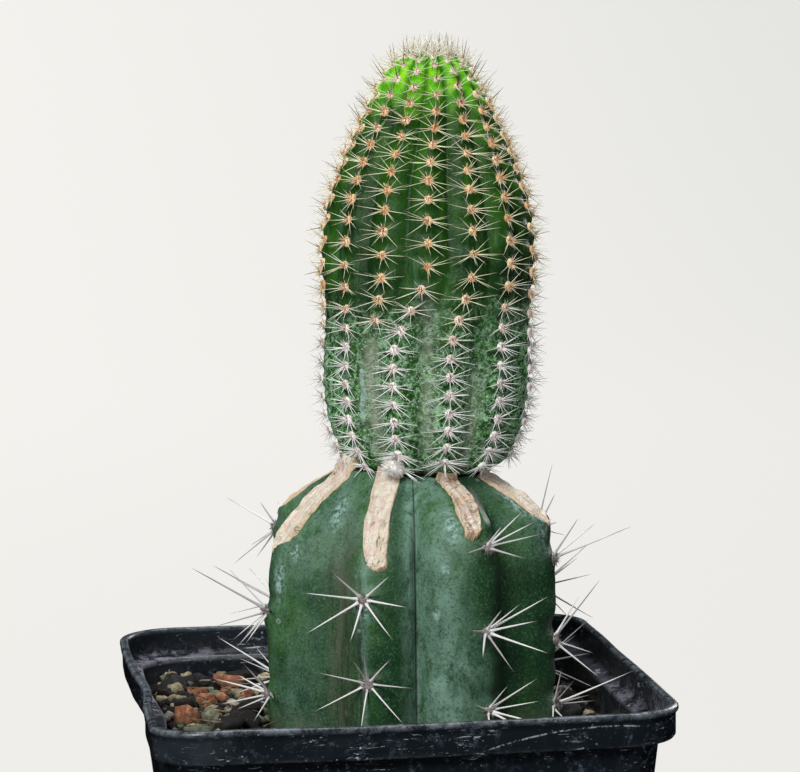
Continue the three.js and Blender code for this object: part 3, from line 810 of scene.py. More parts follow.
def warp_pot(points):
    """The thin rim has lost its straight line: a bulge on the left, a sag in front, small waves all round."""
    x, y, z = points.T
    share = smoothstep(z, 62.0, POT_HEIGHT)
    flat = points * [1, 1, 0]
    loose = share * lerp(1.0, 0.3, smoothstep(x, -10, 20))
    moved = points.copy()
    moved[:, 0] -= share * soft_curve(LEFT_RIM_BULGE, y) * smoothstep(-x, 30, 42)
    sag = 0.3 * share * bell(x, 22) * smoothstep(-y, 34, 42)
    moved[:, 2] += 0.16 * loose * Ripples(SEED + 5, 34)(flat) - sag
    moved[:, :2] += (0.14 * loose * Ripples(SEED + 6, 26)(flat))[:, None] * unit(points[:, :2])
    return moved


def pot_layers():
    """The rings of the pot with the wear and painted highlight, and the dust, on each, and how many of them
    lie outside.
    """
    layers = []

    def layer(half, radius, z, wear=0.0, dust=0.0):
        layers.append((square_ring(half, radius, z), wear, dust))

    foot, corner = POT_FOOT_CORNER, POT_CORNER
    top, rim = POT_BODY_TOP_Z, POT_HEIGHT
    # the underside, and round the foot
    layer(DRAIN_OFFSET * 0.2, 2, 0.9)
    layer(DRAIN_OFFSET * 1.3, 4, 0.9)
    layer(pot_body_half(0) - 3.2, foot - 2, 0.7)
    layer(pot_body_half(0) - 2.6, foot - 1.6, 0.05)
    layer(pot_body_half(0) - 1, foot, 0.0, 0.3)
    layer(pot_body_half(0.3) - 0.35, foot + 0.5, 0.3, 0.6)
    layer(pot_body_half(1), foot + 1, 1, 0.5)
    # the tapered side
    for z in np.linspace(3, top - 1.2, 26):
        layer(pot_body_half(z), lerp(foot + 1, corner - 1, z / top), z)
    layer(pot_body_half(top), corner - 1, top - 0.3)
    layer(pot_body_half(top) + 0.3, corner - 0.8, top)
    # the rim band, with painted highlight along its lower edge
    layer(BAND_HALF - 0.9, corner - 0.2, top + 0.05)
    layer(BAND_HALF - 0.25, corner, top + 0.25, 0.35)
    layer(BAND_HALF, corner, top + 0.7, 0.05)
    for z in np.linspace(top + 1.4, rim - 1.5, 5):
        layer(BAND_HALF, corner, z)
    # the rounded lip, worn and with painted highlight along its top
    layer(RIM_HALF - 0.1, corner, rim - 1.15)
    layer(RIM_HALF, corner, rim - 0.85, 0.2)
    layer(RIM_HALF - 0.05, corner, rim - 0.4, 0.6)
    layer(RIM_HALF - 0.3, corner, rim - 0.1, 1.0)
    layer(RIM_HALF - 0.8, corner - 0.4, rim, 0.4)
    inner, ledge_z = BAND_HALF - POT_WALL, top + POT_WALL * 0.4
    layer(inner + 0.35, corner - 0.8, rim - 0.05, 0.75)
    layer(inner + 0.05, corner - 1, rim - 0.35, 0.3)
    outside = len(layers)
    # down the inside, with a step at the foot of the band
    layer(inner, corner - 1, rim - 0.9)
    for z in np.linspace(rim - 2, ledge_z + 1.4, 4):
        layer(inner, corner - 1, z, 0, 0.25 * smoothstep(-z, -rim + 2, -ledge_z))
    layer(inner - 0.15, corner - 1, ledge_z + 0.75, 0, 0.8)
    layer(inner - 0.9, corner - 1.3, ledge_z + 0.45, 0, 1)
    inside = pot_body_half(top) - POT_WALL
    layer(inside + 0.5, corner - 1.6, ledge_z + 0.35, 0.2, 1)
    layer(inside + 0.05, corner - 1.7, ledge_z, 0.5, 0.7)
    for z in np.linspace(ledge_z - 0.8, 70, 8):
        layers.append((pot_inside(z, 0), 0, 0.35 * smoothstep(z, 84, 78)))
    layers += [(pot_inside(z, 0), 0, 0) for z in (30, POT_FLOOR)]
    return layers, outside


def make_pot():
    layers, outside = pot_layers()
    rings = np.stack([ring for ring, _, _ in layers])
    shape = rings.shape
    rings = warp_pot(rings.reshape(-1, 3)).reshape(shape)
    wear, dust = (np.repeat([[layer[i]] for layer in layers], shape[1], 1) for i in (1, 2))
    dust = dust * np.clip(0.75 + 0.5 * Ripples(SEED + 7, 30)(rings), 0, 1.3)
    # dried lime on the inside, near one front corner
    x, y, z = np.moveaxis(rings[outside:], -1, 0)
    dust[outside:] *= 1 - 0.7 * smoothstep(x, 28, 38)
    stain = smoothstep(x, 36, 39) * bell(y + 31, 7) * bell(z - 83, 5)
    dust[outside:] = np.maximum(dust[outside:], 0.95 * stain)
    pot = Piece("pot_shell", "wear", "dust")
    pot.add_rings(rings, wear=wear, dust=dust)
    drill_drains(pot.make(pot_look(), "pot_plastic", "pot"))


def drill_drains(pot):
    """Four round drain holes through the floor."""
    size = {"radius": DRAIN_RADIUS * MM, "depth": POT_FLOOR * 4 * MM}
    for angle in (45, 135, 225, 315):
        place = direction(angle) * DRAIN_OFFSET * MM
        bpy.ops.mesh.primitive_cylinder_add(vertices=40, location=place, **size)
        drill = bpy.context.object
        cut = pot.modifiers.new("drain", "BOOLEAN")
        cut.operation = "DIFFERENCE"
        cut.solver = "EXACT"
        cut.object = drill
        bpy.context.view_layer.objects.active = pot
        bpy.ops.object.modifier_apply(modifier=cut.name)
        bpy.data.objects.remove(drill)


# ---------------------------------------------------------------- rootstock

RIB_COLUMNS = 40
STOCK_ROWS = 170
CLING_INSIDE = 12.5  # from the scion's axis: where dried flesh starts to rise towards it
CLING_OUTSIDE = 13.5

# For each scar its share of the full width, how blunt its lower end is and how far that lies sideways.
SCAR_SHAPES = {
    "a": (0.8, 0.78, 1.6),
    "b": (0.7, 0.74, -1.8),
    "c": (1.3, 0.24, -0.3),
    "d": (1.0, 0.5, -0.4),
    "e": (0.9, 0.3, 0.3),
    "f": (0.95, 0.55, 0.3),
    "g": (0.85, 0.3, -0.5),
    "h": (1.0, 0.5, 0.4),
}

# Lime-dry patches beside wounds, some of them painted highlight, as angle, height, and their reach in degrees
# and millimetres.
CHALK_AND_HIGHLIGHT_PATCHES = [
    (-81, 118.5, 3, 2.6), (-85, 111.5, 1.2, 1.1), (-89, 104, 1, 1.1), (-38, 121, 3, 2.2),
    (-33, 116.5, 2, 3), (-24, 112, 2, 2.4), (-161, 108, 2.4, 3.8), (-155, 113, 1.6, 1.6),
    (-141, 120, 3.6, 2.4), (-116, 104.6, 3.2, 1.4), (-57, 101, 1.2, 1.2),
    (30, 108, 5, 5), (97, 104, 5, 4), (150, 108, 3, 5),
]

# Stripes of bloom with painted highlight, and of painted shade, up the ribs, as strength, angle and width.
BLOOM_AND_HIGHLIGHT_STRIPES = [
    (0.95, -86, 10), (0.1, -145, 10), (1.5, -99, 3.4), (0.8, -117, 2.4),
    (0.5, 30, 9), (0.45, 97, 9),
]
PAINTED_SHADE_STRIPES = [(0.75, -108, 3.5), (0.8, -10, 12), (0.6, 50, 10), (0.6, 115, 9), (0.5, 172, 8)]

# Stripes of cork likewise, each with the heights between which it fades out.
CORK_STRIPES = [(1.0, -130, 8, 112, 123), (0.8, 38, 4, 96, 104), (0.8, 128, 5, 104, 112)]

# How sharply the furrow after each rib is creased: 1 is a knife-like fold, 0 a soft valley.
CREASES = [1.0, 0.2, 0.7, 0.6, 0.8, 0.6, 0.8, 0.0]


def stock_rib_sides():
    """For each rib the furrow before it, the crest and the furrow after it."""
    sides = []
    for index, (_, crest, furrow, _, _) in enumerate(STOCK_RIBS):
        before = STOCK_RIBS[index - 1][2] - (360 if index == 0 else 0)
        sides.append((before, crest, furrow))
    return sides


def stock_furrow_radius(z):
    below = [(STOCK_FOOT_Z, 7.5), (68, 1), (78, 0), (104, 0)]
    above = [(110, 0.3), (114, 1.1), (118, 2.5), (122, 4.6)]
    points = [(height, STOCK_FURROW - less) for height, less in below + above]
    return soft_curve([*points, (STOCK_TOP_Z, STOCK_TOP_FURROW)], z)


def stock_crest_radius(cut_z, z):
    shoulder = STOCK_CREST - 0.9
    side = [(STOCK_FOOT_Z, 17), (68, STOCK_CREST - 2), (80, STOCK_CREST), (102, STOCK_CREST)]
    halfway = (lerp(cut_z, STOCK_TOP_Z, 0.5), lerp(shoulder, STOCK_TOP_RADIUS, 0.43))
    return soft_curve([*side, (cut_z, shoulder), halfway, (STOCK_TOP_Z, STOCK_TOP_RADIUS)], z)


class KnifeCut:
    """The sloping cut on one rib, as a frame that runs up along it."""

    def __init__(self, crest, cut_z):
        def on_crest(z):
            return direction(crest) * stock_crest_radius(cut_z, z) + [STOCK_X, STOCK_Y, z]

        self.low = on_crest(cut_z)
        rise = on_crest(STOCK_TOP_Z) - self.low
        self.length = np.linalg.norm(rise)
        self.up = rise / self.length
        self.across = direction(crest + 90.0)
        self.out = np.cross(self.across, self.up)

    def coordinates(self, points):
        offset = points - self.low
        return offset @ self.up, offset @ self.across, offset @ self.out

    def point(self, along, across, depth):
        point = self.low
        for axis, distance in ((self.up, along), (self.across, across), (self.out, depth)):
            point = point + axis * np.asarray(distance)[..., None]
        return point


CUTS = {name: KnifeCut(crest, cut_z) for name, crest, _, cut_z, _ in STOCK_RIBS}


def scar_half_width(name, along):
    """Half the width of a scar: it widens quickly from a blunt or pointed lower end."""
    share, blunt, _ = SCAR_SHAPES[name]
    wavy = 0.1 * np.sin(along * 0.7 + ord(name)) + 0.03 * np.sin(along * 2.3 + 2 * ord(name))
    grown = share * SCAR_WIDTH / 2 * (blunt + (1 - blunt) * smoothstep(along, 0.0, 3.0)) + wavy
    return grown * smoothstep(along, -0.9, 0.5)


def scar_shift(name, along):
    """How far the middle line of a scar lies sideways."""
    wave = 0.1 * np.sin(along * 0.5 + ord(name)) * smoothstep(along, 0, 4)
    return wave + SCAR_SHAPES[name][2] * np.clip(1 - along / 9, 0, 1)


def carve_cut(points, name):
    """Sinks the skin under the scar of a rib."""
    along, across, depth = CUTS[name].coordinates(points)
    room = scar_half_width(name, along) - 0.35 - np.abs(across - scar_shift(name, along))
    inside = smoothstep(room, -0.15, 0.35) * smoothstep(along, -0.2, 0.6)
    sink = np.minimum(-1.15 - depth, 0) * inside
    return points + CUTS[name].out * sink[..., None]


def stock_surface(place, rib, z):
    """Points of the rootstock's skin for a place from -1 to 1 across a rib, with their angles and creases."""
    name, _, _, cut_z, areoles = STOCK_RIBS[rib]
    before, crest_angle, after = stock_rib_sides()[rib]
    share = np.abs(place)
    wander = 0.9 * np.sin(z * 0.16 + rib * 2.1) * smoothstep(z, 82, 95)
    crest_angle = crest_angle + wander * (1 - share)
    angle = np.where(place < 0, lerp(crest_angle, before, -place), lerp(crest_angle, after, place))
    rounded = np.sqrt(share**2 + 0.07**2) - 0.07
    folded = 0.32 * rounded + 0.68 * share**2.5
    valley = 0.5 - 0.5 * np.cos(np.pi * share)
    crest, furrow = stock_crest_radius(cut_z, z), stock_furrow_radius(z)
    sharp = np.where(place < 0, CREASES[rib - 1], CREASES[rib])
    crease = sharp * bell(1 - share, 0.04) * 0.5 * smoothstep(crest - furrow, 0.5, 2.5)
    radius = lerp(crest, furrow, lerp(valley * 0.82, folded, sharp)) - crease
    sideways = (angle - crest_angle) * 0.45  # millimetres across the rib, near its crest
    for height in areoles:
        step = z - height
        radius += 0.55 * bell(sideways, 2.6) * bell(step + 0.9, 1.7)
        radius -= 0.5 * bell(sideways, 3.4) * bell(step - 2.4, 1.3)
    spoke = direction(angle)
    points = spoke * radius[..., None]
    points[..., 0] += STOCK_X
    points[..., 1] += STOCK_Y
    points[..., 2] = z
    lumps = 0.17 * Ripples(SEED + 11, 15)(points) + 0.06 * Ripples(SEED + 12, 5)(points)
    lumps = lumps * smoothstep(share, 1.0, 0.9) * smoothstep(z, STOCK_TOP_Z, STOCK_TOP_Z - 2)
    points += spoke * lumps[..., None]
    return carve_cut(points, name), angle, share * lerp(0.86, 1.0, sharp)


def stock_cap(edge):
    """The cut on top: dried flesh that rises towards the scion where there is room, and a flat middle."""
    middle = np.array([STOCK_X, STOCK_Y, STOCK_TOP_Z])
    room = np.linalg.norm(edge[:, :2] - [SCION_X, SCION_Y], axis=1) - CLING_INSIDE
    rise = np.clip(room, 0, 4)
    caps = [lerp(middle, edge, grow) for grow in (0.97, 0.9, 0.5)]
    caps[0][:, 2] += 0.25 * rise
    caps[1][:, 2] += 0.5 * rise
    caps[2][:, 2] -= 0.3
    return caps


def stock_fields(rings, angle, z):
    """Where the skin has bloom with painted highlight, painted shade, cork, and chalk with painted highlight.
    """
    shoulder = 0.22 * smoothstep(z, 104, 122) + 0.25 * np.clip(Ripples(SEED + 13, 24)(rings), -1, 1)
    shoulder -= 0.25 * stripe(angle, -52, 12)
    bloom_and_highlight = np.clip(0.08 + stripes(angle, BLOOM_AND_HIGHLIGHT_STRIPES) + shoulder, 0, 1.5)
    # painted shade on the face past rib b's crest, which turns away from the light
    past_crest = turn_between(angle, -70)
    shaded_flank = 0.6 * smoothstep(past_crest, 1, 5) * smoothstep(past_crest, 36, 22)
    painted_shade = np.clip(stripes(angle, PAINTED_SHADE_STRIPES) + shaded_flank, 0, 1)
    painted_shade = painted_shade * (0.8 + 0.2 * np.clip(Ripples(SEED + 14, 16)(rings), -1, 1))
    cork = 0.7 * smoothstep(z, 87, 80)
    for strength, centre, width, low, high in CORK_STRIPES:
        cork = np.maximum(cork, strength * stripe(angle, centre, width) * smoothstep(z, high, low))
    chalk_and_highlight = np.zeros_like(z)
    for centre, height, wide, tall in CHALK_AND_HIGHLIGHT_PATCHES:
        chalk_and_highlight = np.maximum(chalk_and_highlight, stripe(angle, centre, wide) * bell(z - height, tall))
    return {"bloom_and_highlight": bloom_and_highlight, "painted_shade": painted_shade, "cork": cork, "chalk_and_highlight": chalk_and_highlight}


def stock_skin():
    foot = np.linspace(STOCK_FOOT_Z, 78, 10, endpoint=False)
    heights = np.concatenate([foot, np.linspace(78, STOCK_TOP_Z, STOCK_ROWS)])
    place, height = np.meshgrid(np.linspace(-1, 1, RIB_COLUMNS, endpoint=False), heights)
    ribs = [stock_surface(place, rib, height) for rib in range(len(STOCK_RIBS))]
    rings, angle, share = (np.concatenate(part, 1) for part in zip(*ribs))
    z = rings[..., 2]
    caps = stock_cap(rings[-1])
    rings = np.concatenate([rings, caps])
    angle, share, z = (np.concatenate([grid, *[grid[-1:]] * len(caps)]) for grid in (angle, share, z))
    cut = np.zeros_like(z)
    cut[-len(caps):] = [[0.25], [0.9], [1.0]]
    skin = Piece("rootstock_skin", "furrow", "bloom_and_highlight", "cork", "cut", "chalk_and_highlight", "painted_shade")
    skin.add_rings(rings, furrow=share, cut=cut, **stock_fields(rings, angle, z))
    skin.make(stock_look(), "rootstock_skin", "rootstock")


# The spines of each areole in front, by rib and areole from below, and one fan for all the others:
# clock angle (0 right, 90 up, seen from outside), lift off the skin, length.
FANS = {
    "a1": [
        (160, 32, 10), (95, 50, 9), (85, 30, 9), (45, 28, 9),
        (5, 25, 11), (-35, 25, 10.5), (-85, 40, 9), (-153, 30, 10.5),
    ],
    "a2": [
        (125, 35, 9), (40, 25, 9), (0, 25, 10.5), (-38, 30, 10.5),
        (-95, 40, 8.5), (-148, 40, 12), (165, 40, 11.5),
    ],
    "b1": [
        (85, 45, 8), (50, 40, 11), (15, 35, 9), (-13, 58, 12.5),
        (-42, 55, 10), (-140, 55, 7), (155, 38, 9),
    ],
    "b2": [
        (97, 50, 8), (60, 42, 9), (38, 32, 12.5), (35, 60, 11),
        (-23, 60, 12.5), (-85, 55, 10), (-150, 50, 9), (165, 35, 9),
    ],
    "b3": [(60, 35, 10.5), (42, 42, 10.5), (30, 55, 11.5), (-20, 60, 8), (178, 33, 10), (100, 52, 8)],
    "c1": [
        (168, 42, 12), (60, 36, 10), (38, 26, 10), (166, 20, 9),
        (-158, 30, 12), (-125, 30, 9), (-40, 30, 9.5), (8, 12, 12),
    ],
    "c2": [(125, 52, 15.5), (90, 40, 10.5), (-155, 40, 11), (-110, 35, 9), (-35, 38, 9.5), (15, 14, 12)],
    "d1": [
        (125, 15, 10), (140, 22, 10), (130, 32, 9.5), (40, 55, 15.5),
        (3, 28, 9), (-5, 30, 10), (-172, 13, 11), (-130, 18, 11),
    ],
    "d2": [(42, 21, 15), (75, 25, 9), (-60, 40, 11), (-25, 30, 10)],
    "d3": [(30, 50, 15.5), (38, 32, 10.5), (110, 32, 10)],
    "e3": [(110, 65, 12), (150, 40, 9), (158, 20, 10), (-130, 50, 9), (-100, 50, 12), (-115, 37, 9)],
    "f3": [(53, 29, 15), (50, 40, 9), (0, 42, 10), (-5, 48, 10), (-30, 55, 10)],
}
COMMON_FAN = [
    (162, 34, 10.5), (112, 46, 8.5), (70, 58, 13.5), (38, 32, 9.5),
    (0, 28, 10.5), (-40, 32, 11), (-92, 42, 9), (-150, 36, 11.5),
]
SPINE_CLEAR_Z = SOIL_LEVEL + 3.0
STOCK_NEEDLE = [
    (0, 1.9), (0.03, 2.0), (0.07, 1.5), (0.14, 1.1),
    (0.35, 0.92), (0.65, 0.64), (0.86, 0.34), (0.96, 0.12),
]
HAIR = [(0, 1), (0.6, 0.7)]
FELT_CUSHION = [1.0, 0.9, 0.6]
FELT_HAIRS = 70
FELT_HAIR_RADIUS = 0.055


def stock_areoles():
    """The name and the seat of every areole of the rootstock."""
    found = []
    for rib, (name, crest, _, _, areoles) in enumerate(STOCK_RIBS):
        for number, z in enumerate(areoles, 1):
            points, _, _ = stock_surface(np.zeros(1), rib, np.array([z], float))
            found.append((f"{name}{number}", Seat(points[0], crest)))
    return found


def stock_spines():
    random = np.random.default_rng(SEED + 20)
    starts, ends, seeds = [], [], []
    for name, seat in stock_areoles():
        loose = 0 if name in FANS else 7
        for clock, lift, length in FANS.get(name, COMMON_FAN):
            way = seat.way(clock + random.uniform(-loose, loose), lift)
            tip = seat.centre + way * length
            tip[2] = max(tip[2], SPINE_CLEAR_Z)
            starts.append(seat.centre + way * 0.85 - seat.out * 0.5)
            ends.append(tip)
            seeds.append(random.uniform(0, 1))
    spines = Piece("rootstock_spines", "along", "seed")
    sag = random.uniform(-0.012, 0.02, len(starts))
    radii = random.uniform(0.145, 0.2, len(starts))
    spines.add_needles(starts, ends, radii, 10, STOCK_NEEDLE, sag=sag, seed=seeds)
    spines.make(stock_spine_look(), "rootstock_skin")


def stock_felt():
    """Grey felt in each areole: a low cushion with short hairs all over it."""
    random = np.random.default_rng(SEED + 21)
    felt = Piece("rootstock_felt", "along", "seed")
    shape, faces = ball(3)
    roots, tips = [], []
    for _, seat in stock_areoles():
        size = random.uniform(0.92, 1.12)
        lumps = 1 + 0.1 * Ripples(SEED + 22, 0.7)(shape + seat.centre)
        cushion = shape * lumps[:, None] * [size, 0.9 * size, 0.6]
        felt.add(seat.points(cushion), faces, along=0.6, seed=random.uniform(0, 1))
        for _ in range(FELT_HAIRS):
            spot = unit(random.normal(size=3) * [1, 1, 0.6]) * FELT_CUSHION
            spot[2] = abs(spot[2])
            way = unit(spot / FELT_CUSHION + random.normal(size=3) * 0.35)
            way[2] = abs(way[2])
            roots.append(seat.points(spot))
            tips.append(roots[-1] + seat.turned(way) * random.uniform(0.4, 0.9))
    felt.add_needles(roots, tips, FELT_HAIR_RADIUS, 4, HAIR, seed=random.uniform(0, 1, len(roots)))
    felt.make(felt_look("rootstock_felt_look", (62, 56, 52), (160, 156, 152)), "rootstock_skin")


def scar_climb(cut):
    """From the upper end of a knife cut to the underside of the scion, where the dried flesh clings."""
    head = cut.point(cut.length, 0.0, 0.0)
    axis = np.array([SCION_X, SCION_Y, 0.0])
    away = (head - axis) * [1, 1, 0]
    reach = np.linalg.norm(away)
    wanted = 0.5 * (reach + CLING_OUTSIDE)
    heights, radii = np.array(SCION_OUTLINE[:5]).T
    landing = axis + away / reach * wanted
    landing[2] = np.interp(wanted, radii, heights)
    return landing - head


SCAR_ROWS = 110
SCAR_COLUMNS = 38
SCAR_BACK_COLUMNS = 6


def scar_strip(name):
    """Cork over the knife cut of a rib: a shallow trough between raised lips, cracked along its grain."""
    cut = CUTS[name]
    climb = scar_climb(cut)
    end = cut.length + np.linalg.norm(climb)
    rows = np.concatenate([[-0.55], np.linspace(-0.45, end, SCAR_ROWS - 1)])
    along, across = np.meshgrid(rows, np.linspace(-1, 1, SCAR_COLUMNS), indexing="ij")
    shift = scar_shift(name, along)
    lateral = across * np.maximum(scar_half_width(name, along), 0.25) + shift
    rim = np.maximum(np.abs(across), (1 - smoothstep(along, -0.4, 1.4)) * 0.9)
    arch = 0.75 * np.sin(np.pi * np.clip(along / cut.length, 0, 1))
    depth = -0.42 + arch + 0.34 * bell(rim - 0.84, 0.12) - 1.3 * smoothstep(rim, 0.88, 1.0)
    spots = np.stack([along, lateral, np.full_like(lateral, ord(name) * 3.7)], -1)
    fibres = Ripples(SEED + 31, 1.3, 14)(spots * [0.25, 1.4, 1])
    depth += (0.07 * fibres + 0.12 * Ripples(SEED + 32, 3.2)(spots)) * smoothstep(rim, 1.0, 0.85)
    steps = np.abs(Ripples(SEED + 33, 2.6)(spots * [1, 0.5, 1]))
    depth -= 0.16 * bell(steps, 0.12) * smoothstep(rim, 0.95, 0.7)
    ragged = 1 + 0.12 * Ripples(SEED + 34, 1.8)(spots * [0, 1, 1])
    lift = (np.maximum(along - cut.length, 0) * ragged)[..., None] * (unit(climb) - cut.up)
    front = cut.point(along, lateral, depth) + lift
    columns = np.linspace(1, -1, SCAR_BACK_COLUMNS + 2)[1:-1]
    back_along, back_across = np.meshgrid(rows, columns, indexing="ij")
    back_half = np.maximum(scar_half_width(name, back_along), 0.25) * 0.94
    back_lateral = back_across * back_half + shift[:, :SCAR_BACK_COLUMNS]
    back = cut.point(back_along, back_lateral, np.full_like(back_along, -1.9)) + lift[:, :SCAR_BACK_COLUMNS]
    strip = Piece(f"cork_{name}", "along", "across", "edge", "seed", "rungs")
    fields = {
        "along": np.concatenate([along, back_along], 1),
        "across": np.concatenate([lateral, back_across], 1),
        "edge": np.concatenate([rim, np.ones_like(back_along)], 1),
        "rungs": 1.0 if name in "bf" else 0.25,
    }
    strip.add_rings(np.concatenate([front, back], 1), seed=(ord(name) % 7) / 7, **fields)
    return strip


def make_scars():
    look = cork_look()
    for name in CUTS:
        scar_strip(name).make(look, "cork", f"scar_{name}")


# ---------------------------------------------------------------- scion

SCION_RIB_COLUMNS = 20
SCION_ROWS = 290
SCION_RIBS = SCION_GROUPS * len(RIB_GROUP)
FINE_ROWS = 4000

# Along the outline: the first areole of each kind of row, the bare stretch at the tip, and the spacing.
FIRST_AREOLES = (3.4, 4.95)
LAST_AREOLE = 2.2
AREOLE_SPACING = 3.15


def scion_meridian(rows):
    """Height and crest radius of rows spread evenly along the outline, and how far along it they are."""
    outline = np.array([*SCION_OUTLINE, (SCION_TIP_Z, 0.0)])
    chord = np.concatenate([[0], np.cumsum(np.linalg.norm(np.diff(outline, axis=0), axis=1))])
    along = np.linspace(0, chord[-1], rows)
    z, radius = (soft_curve(np.stack([chord, values], -1), along) for values in outline.T)
    return z, radius, along


def scion_rib(index, z):
    """Angles of a rib's crest and of the furrow after it, and how far the rib is raised."""
    group, place = divmod(index, len(RIB_GROUP))
    low, high, furrow_low, furrow_high, inserted = RIB_GROUP[place]
    share = smoothstep(z, SPLIT_START_Z, SPLIT_END_Z)
    start = SCION_FIRST_RIB + group * 360 / SCION_GROUPS + TWIST * smoothstep(z, TWIST_START_Z, TWIST_END_Z)
    height = share if inserted else np.ones_like(share)
    return start + lerp(low, high, share), start + lerp(furrow_low, furrow_high, share), height


def scion_point(angle, radius, z):
    points = direction(angle) * np.asarray(radius)[..., None]
    points[..., 0] += SCION_X + SCION_LEAN * (z - SCION_BASE_Z)
    points[..., 1] += SCION_Y
    points[..., 2] = z
    return points


def areole_rows():
    """Heights, outline radii, tilts and place along the outline of the areoles, for both kinds of row."""
    z, radius, along = scion_meridian(FINE_ROWS)
    tilt = np.degrees(np.arctan2(-np.gradient(radius, along), np.gradient(z, along)))
    rows = []
    for place in FIRST_AREOLES:
        reached = []
        while place < along[-1] - LAST_AREOLE:
            reached.append(place)
            height = np.interp(place, along, z)
            spacing = AREOLE_SPACING + 0.85 * bell(height - 163, 11)
            place += spacing * lerp(1.0, 0.85, smoothstep(height, 190, 199))
        rows.append([np.interp(reached, along, values) for values in (z, radius, tilt, along)])
    return rows


def scion_areoles():
    """Every areole: rib, angle, height, crest radius and tilt of the skin."""
    rows = areole_rows()
    found = []
    for rib in range(SCION_RIBS):
        z, radius, tilt, _ = rows[rib % 2]
        angle, _, height = scion_rib(rib, z)
        radius = radius - SCION_FURROW * (1 - height)
        found += [(rib, angle[i], z[i], radius[i], tilt[i]) for i in range(len(z)) if height[i] > 0.3]
    return found


def areole_age(rib, z):
    """From 0 for an areole with ochre wool to 1 for one that has bleached white."""
    return smoothstep(z + 2 * math.sin(rib * 2.4), 162, 147)


# Scurfy stripes down old furrows, as angle and upper end.
OLD_FURROWS = [(-99, 158), (-72, 145), (-12, 149), (48, 150), (108, 147), (168, 150)]


def scion_fields(rings, angle, share):
    """Where the skin is corky, young and streaked with wax."""
    z = rings[..., 2]
    cork = 0.95 * stripe(angle, -132.3, 5.5) * smoothstep(z, 153, 148) * smoothstep(z, 127, 132)
    for centre, top in OLD_FURROWS:
        cork = np.maximum(cork, 0.6 * stripe(angle, centre, 4.5) * smoothstep(z, top + 4, top - 6))
    winding = -138.5 + 0.12 * (z - 140) + 0.8 * np.sin(z * 0.9)
    drip = stripe(angle, winding, 1.7) * smoothstep(z, 147, 144) * smoothstep(z, 133, 138)
    streaks = smoothstep(z, 176, 192) * smoothstep(share, 0.45, 1.0) * 0.2
    mottle = 0.1 * Ripples(SEED + 42, 5)(rings) * smoothstep(z, 183, 190)
    young = np.clip(smoothstep(z, 188, 196) + streaks + mottle, 0, 1)
    return {"cork": cork, "drip": drip, "young": young}


def scion_skin():
    z, crest, along = (values[:, None] for values in scion_meridian(SCION_ROWS))
    crest = np.maximum(crest, 0.02)
    depth = SCION_FURROW * np.clip(crest / 14, 0, 1) * (1 - 0.55 * bell(z - 156, 11))
    vigour = lerp(0.34, 0.62, smoothstep(z, 180, 196))
    place = np.linspace(-1, 1, SCION_RIB_COLUMNS, endpoint=False)[None, :]
    rows = areole_rows()
    ribs = []
    for index in range(SCION_RIBS):
        angle, furrow, height = scion_rib(index, z)
        before = scion_rib((index - 1) % SCION_RIBS, z)[1] - (360 if index == 0 else 0)
        here = np.where(place < 0, lerp(angle, before, -place), lerp(angle, furrow, place))
        share = np.abs(place) * np.ones_like(here)
        raised = (1 - 0.55 * share - 0.45 * share**2) * 0.25 + 0.75 * (1 - share**2)
        radius = (crest - depth) + depth * raised * height
        steps = along - rows[index % 2][3]
        swell = bell(steps + 0.35, 1.15).max(1, keepdims=True) * height
        notch = bell(steps - 1.5, 0.75).max(1, keepdims=True) * height
        radius += (vigour * (swell - 0.5 * notch)) * bell(share, 0.62) * np.clip(crest / 6, 0, 1)
        points = scion_point(here, np.maximum(radius, 0.01), z * np.ones_like(here))
        ribs.append((points, lerp(1.0, share, np.clip(height * 1.3, 0, 1)), here))
    rings, share, angle = (np.concatenate(part, 1) for part in zip(*ribs))
    rings += direction(angle) * (0.1 * Ripples(SEED + 41, 9)(rings) * smoothstep(crest, 1, 6))[..., None]
    share = share * (1 - 0.25 * bell(rings[..., 2] - 156, 10))
    skin = Piece("scion_skin", "furrow", "cork", "young", "drip")
    skin.add_rings(rings, furrow=share, **scion_fields(rings, angle, share))
    skin.make(scion_look(), "scion_skin", "scion")


# Radial spines of an areole: clock angle, lift and length. Most lie to the sides, alike on both.
SIDE_RADIALS = [(5, 22, 5.3), (-8, 18, 5.5), (20, 20, 4.9), (-24, 18, 5.0), (-42, 20, 4.1)]
RADIALS = SIDE_RADIALS + [(180 - clock, lift, length) for clock, lift, length in SIDE_RADIALS]
RADIALS += [(-86, 24, 3.0), (44, 26, 3.7), (136, 26, 3.7)]
SCION_NEEDLE = [(0, 1.2), (0.25, 1.0), (0.6, 0.66), (0.88, 0.3)]
DOUBLE_FAN_Z = 130.5  # areoles below this height have two fans of radials
RADIAL_GIRTH = 0.057
CENTRAL_GIRTH = 0.082
CROWN_GIRTH = 0.074
CROWN_SPINES = 10
CROWN_RINGS = [(5, 0.9), (9, 2.3), (12, 3.8)]  # seats and their distance from the growing point


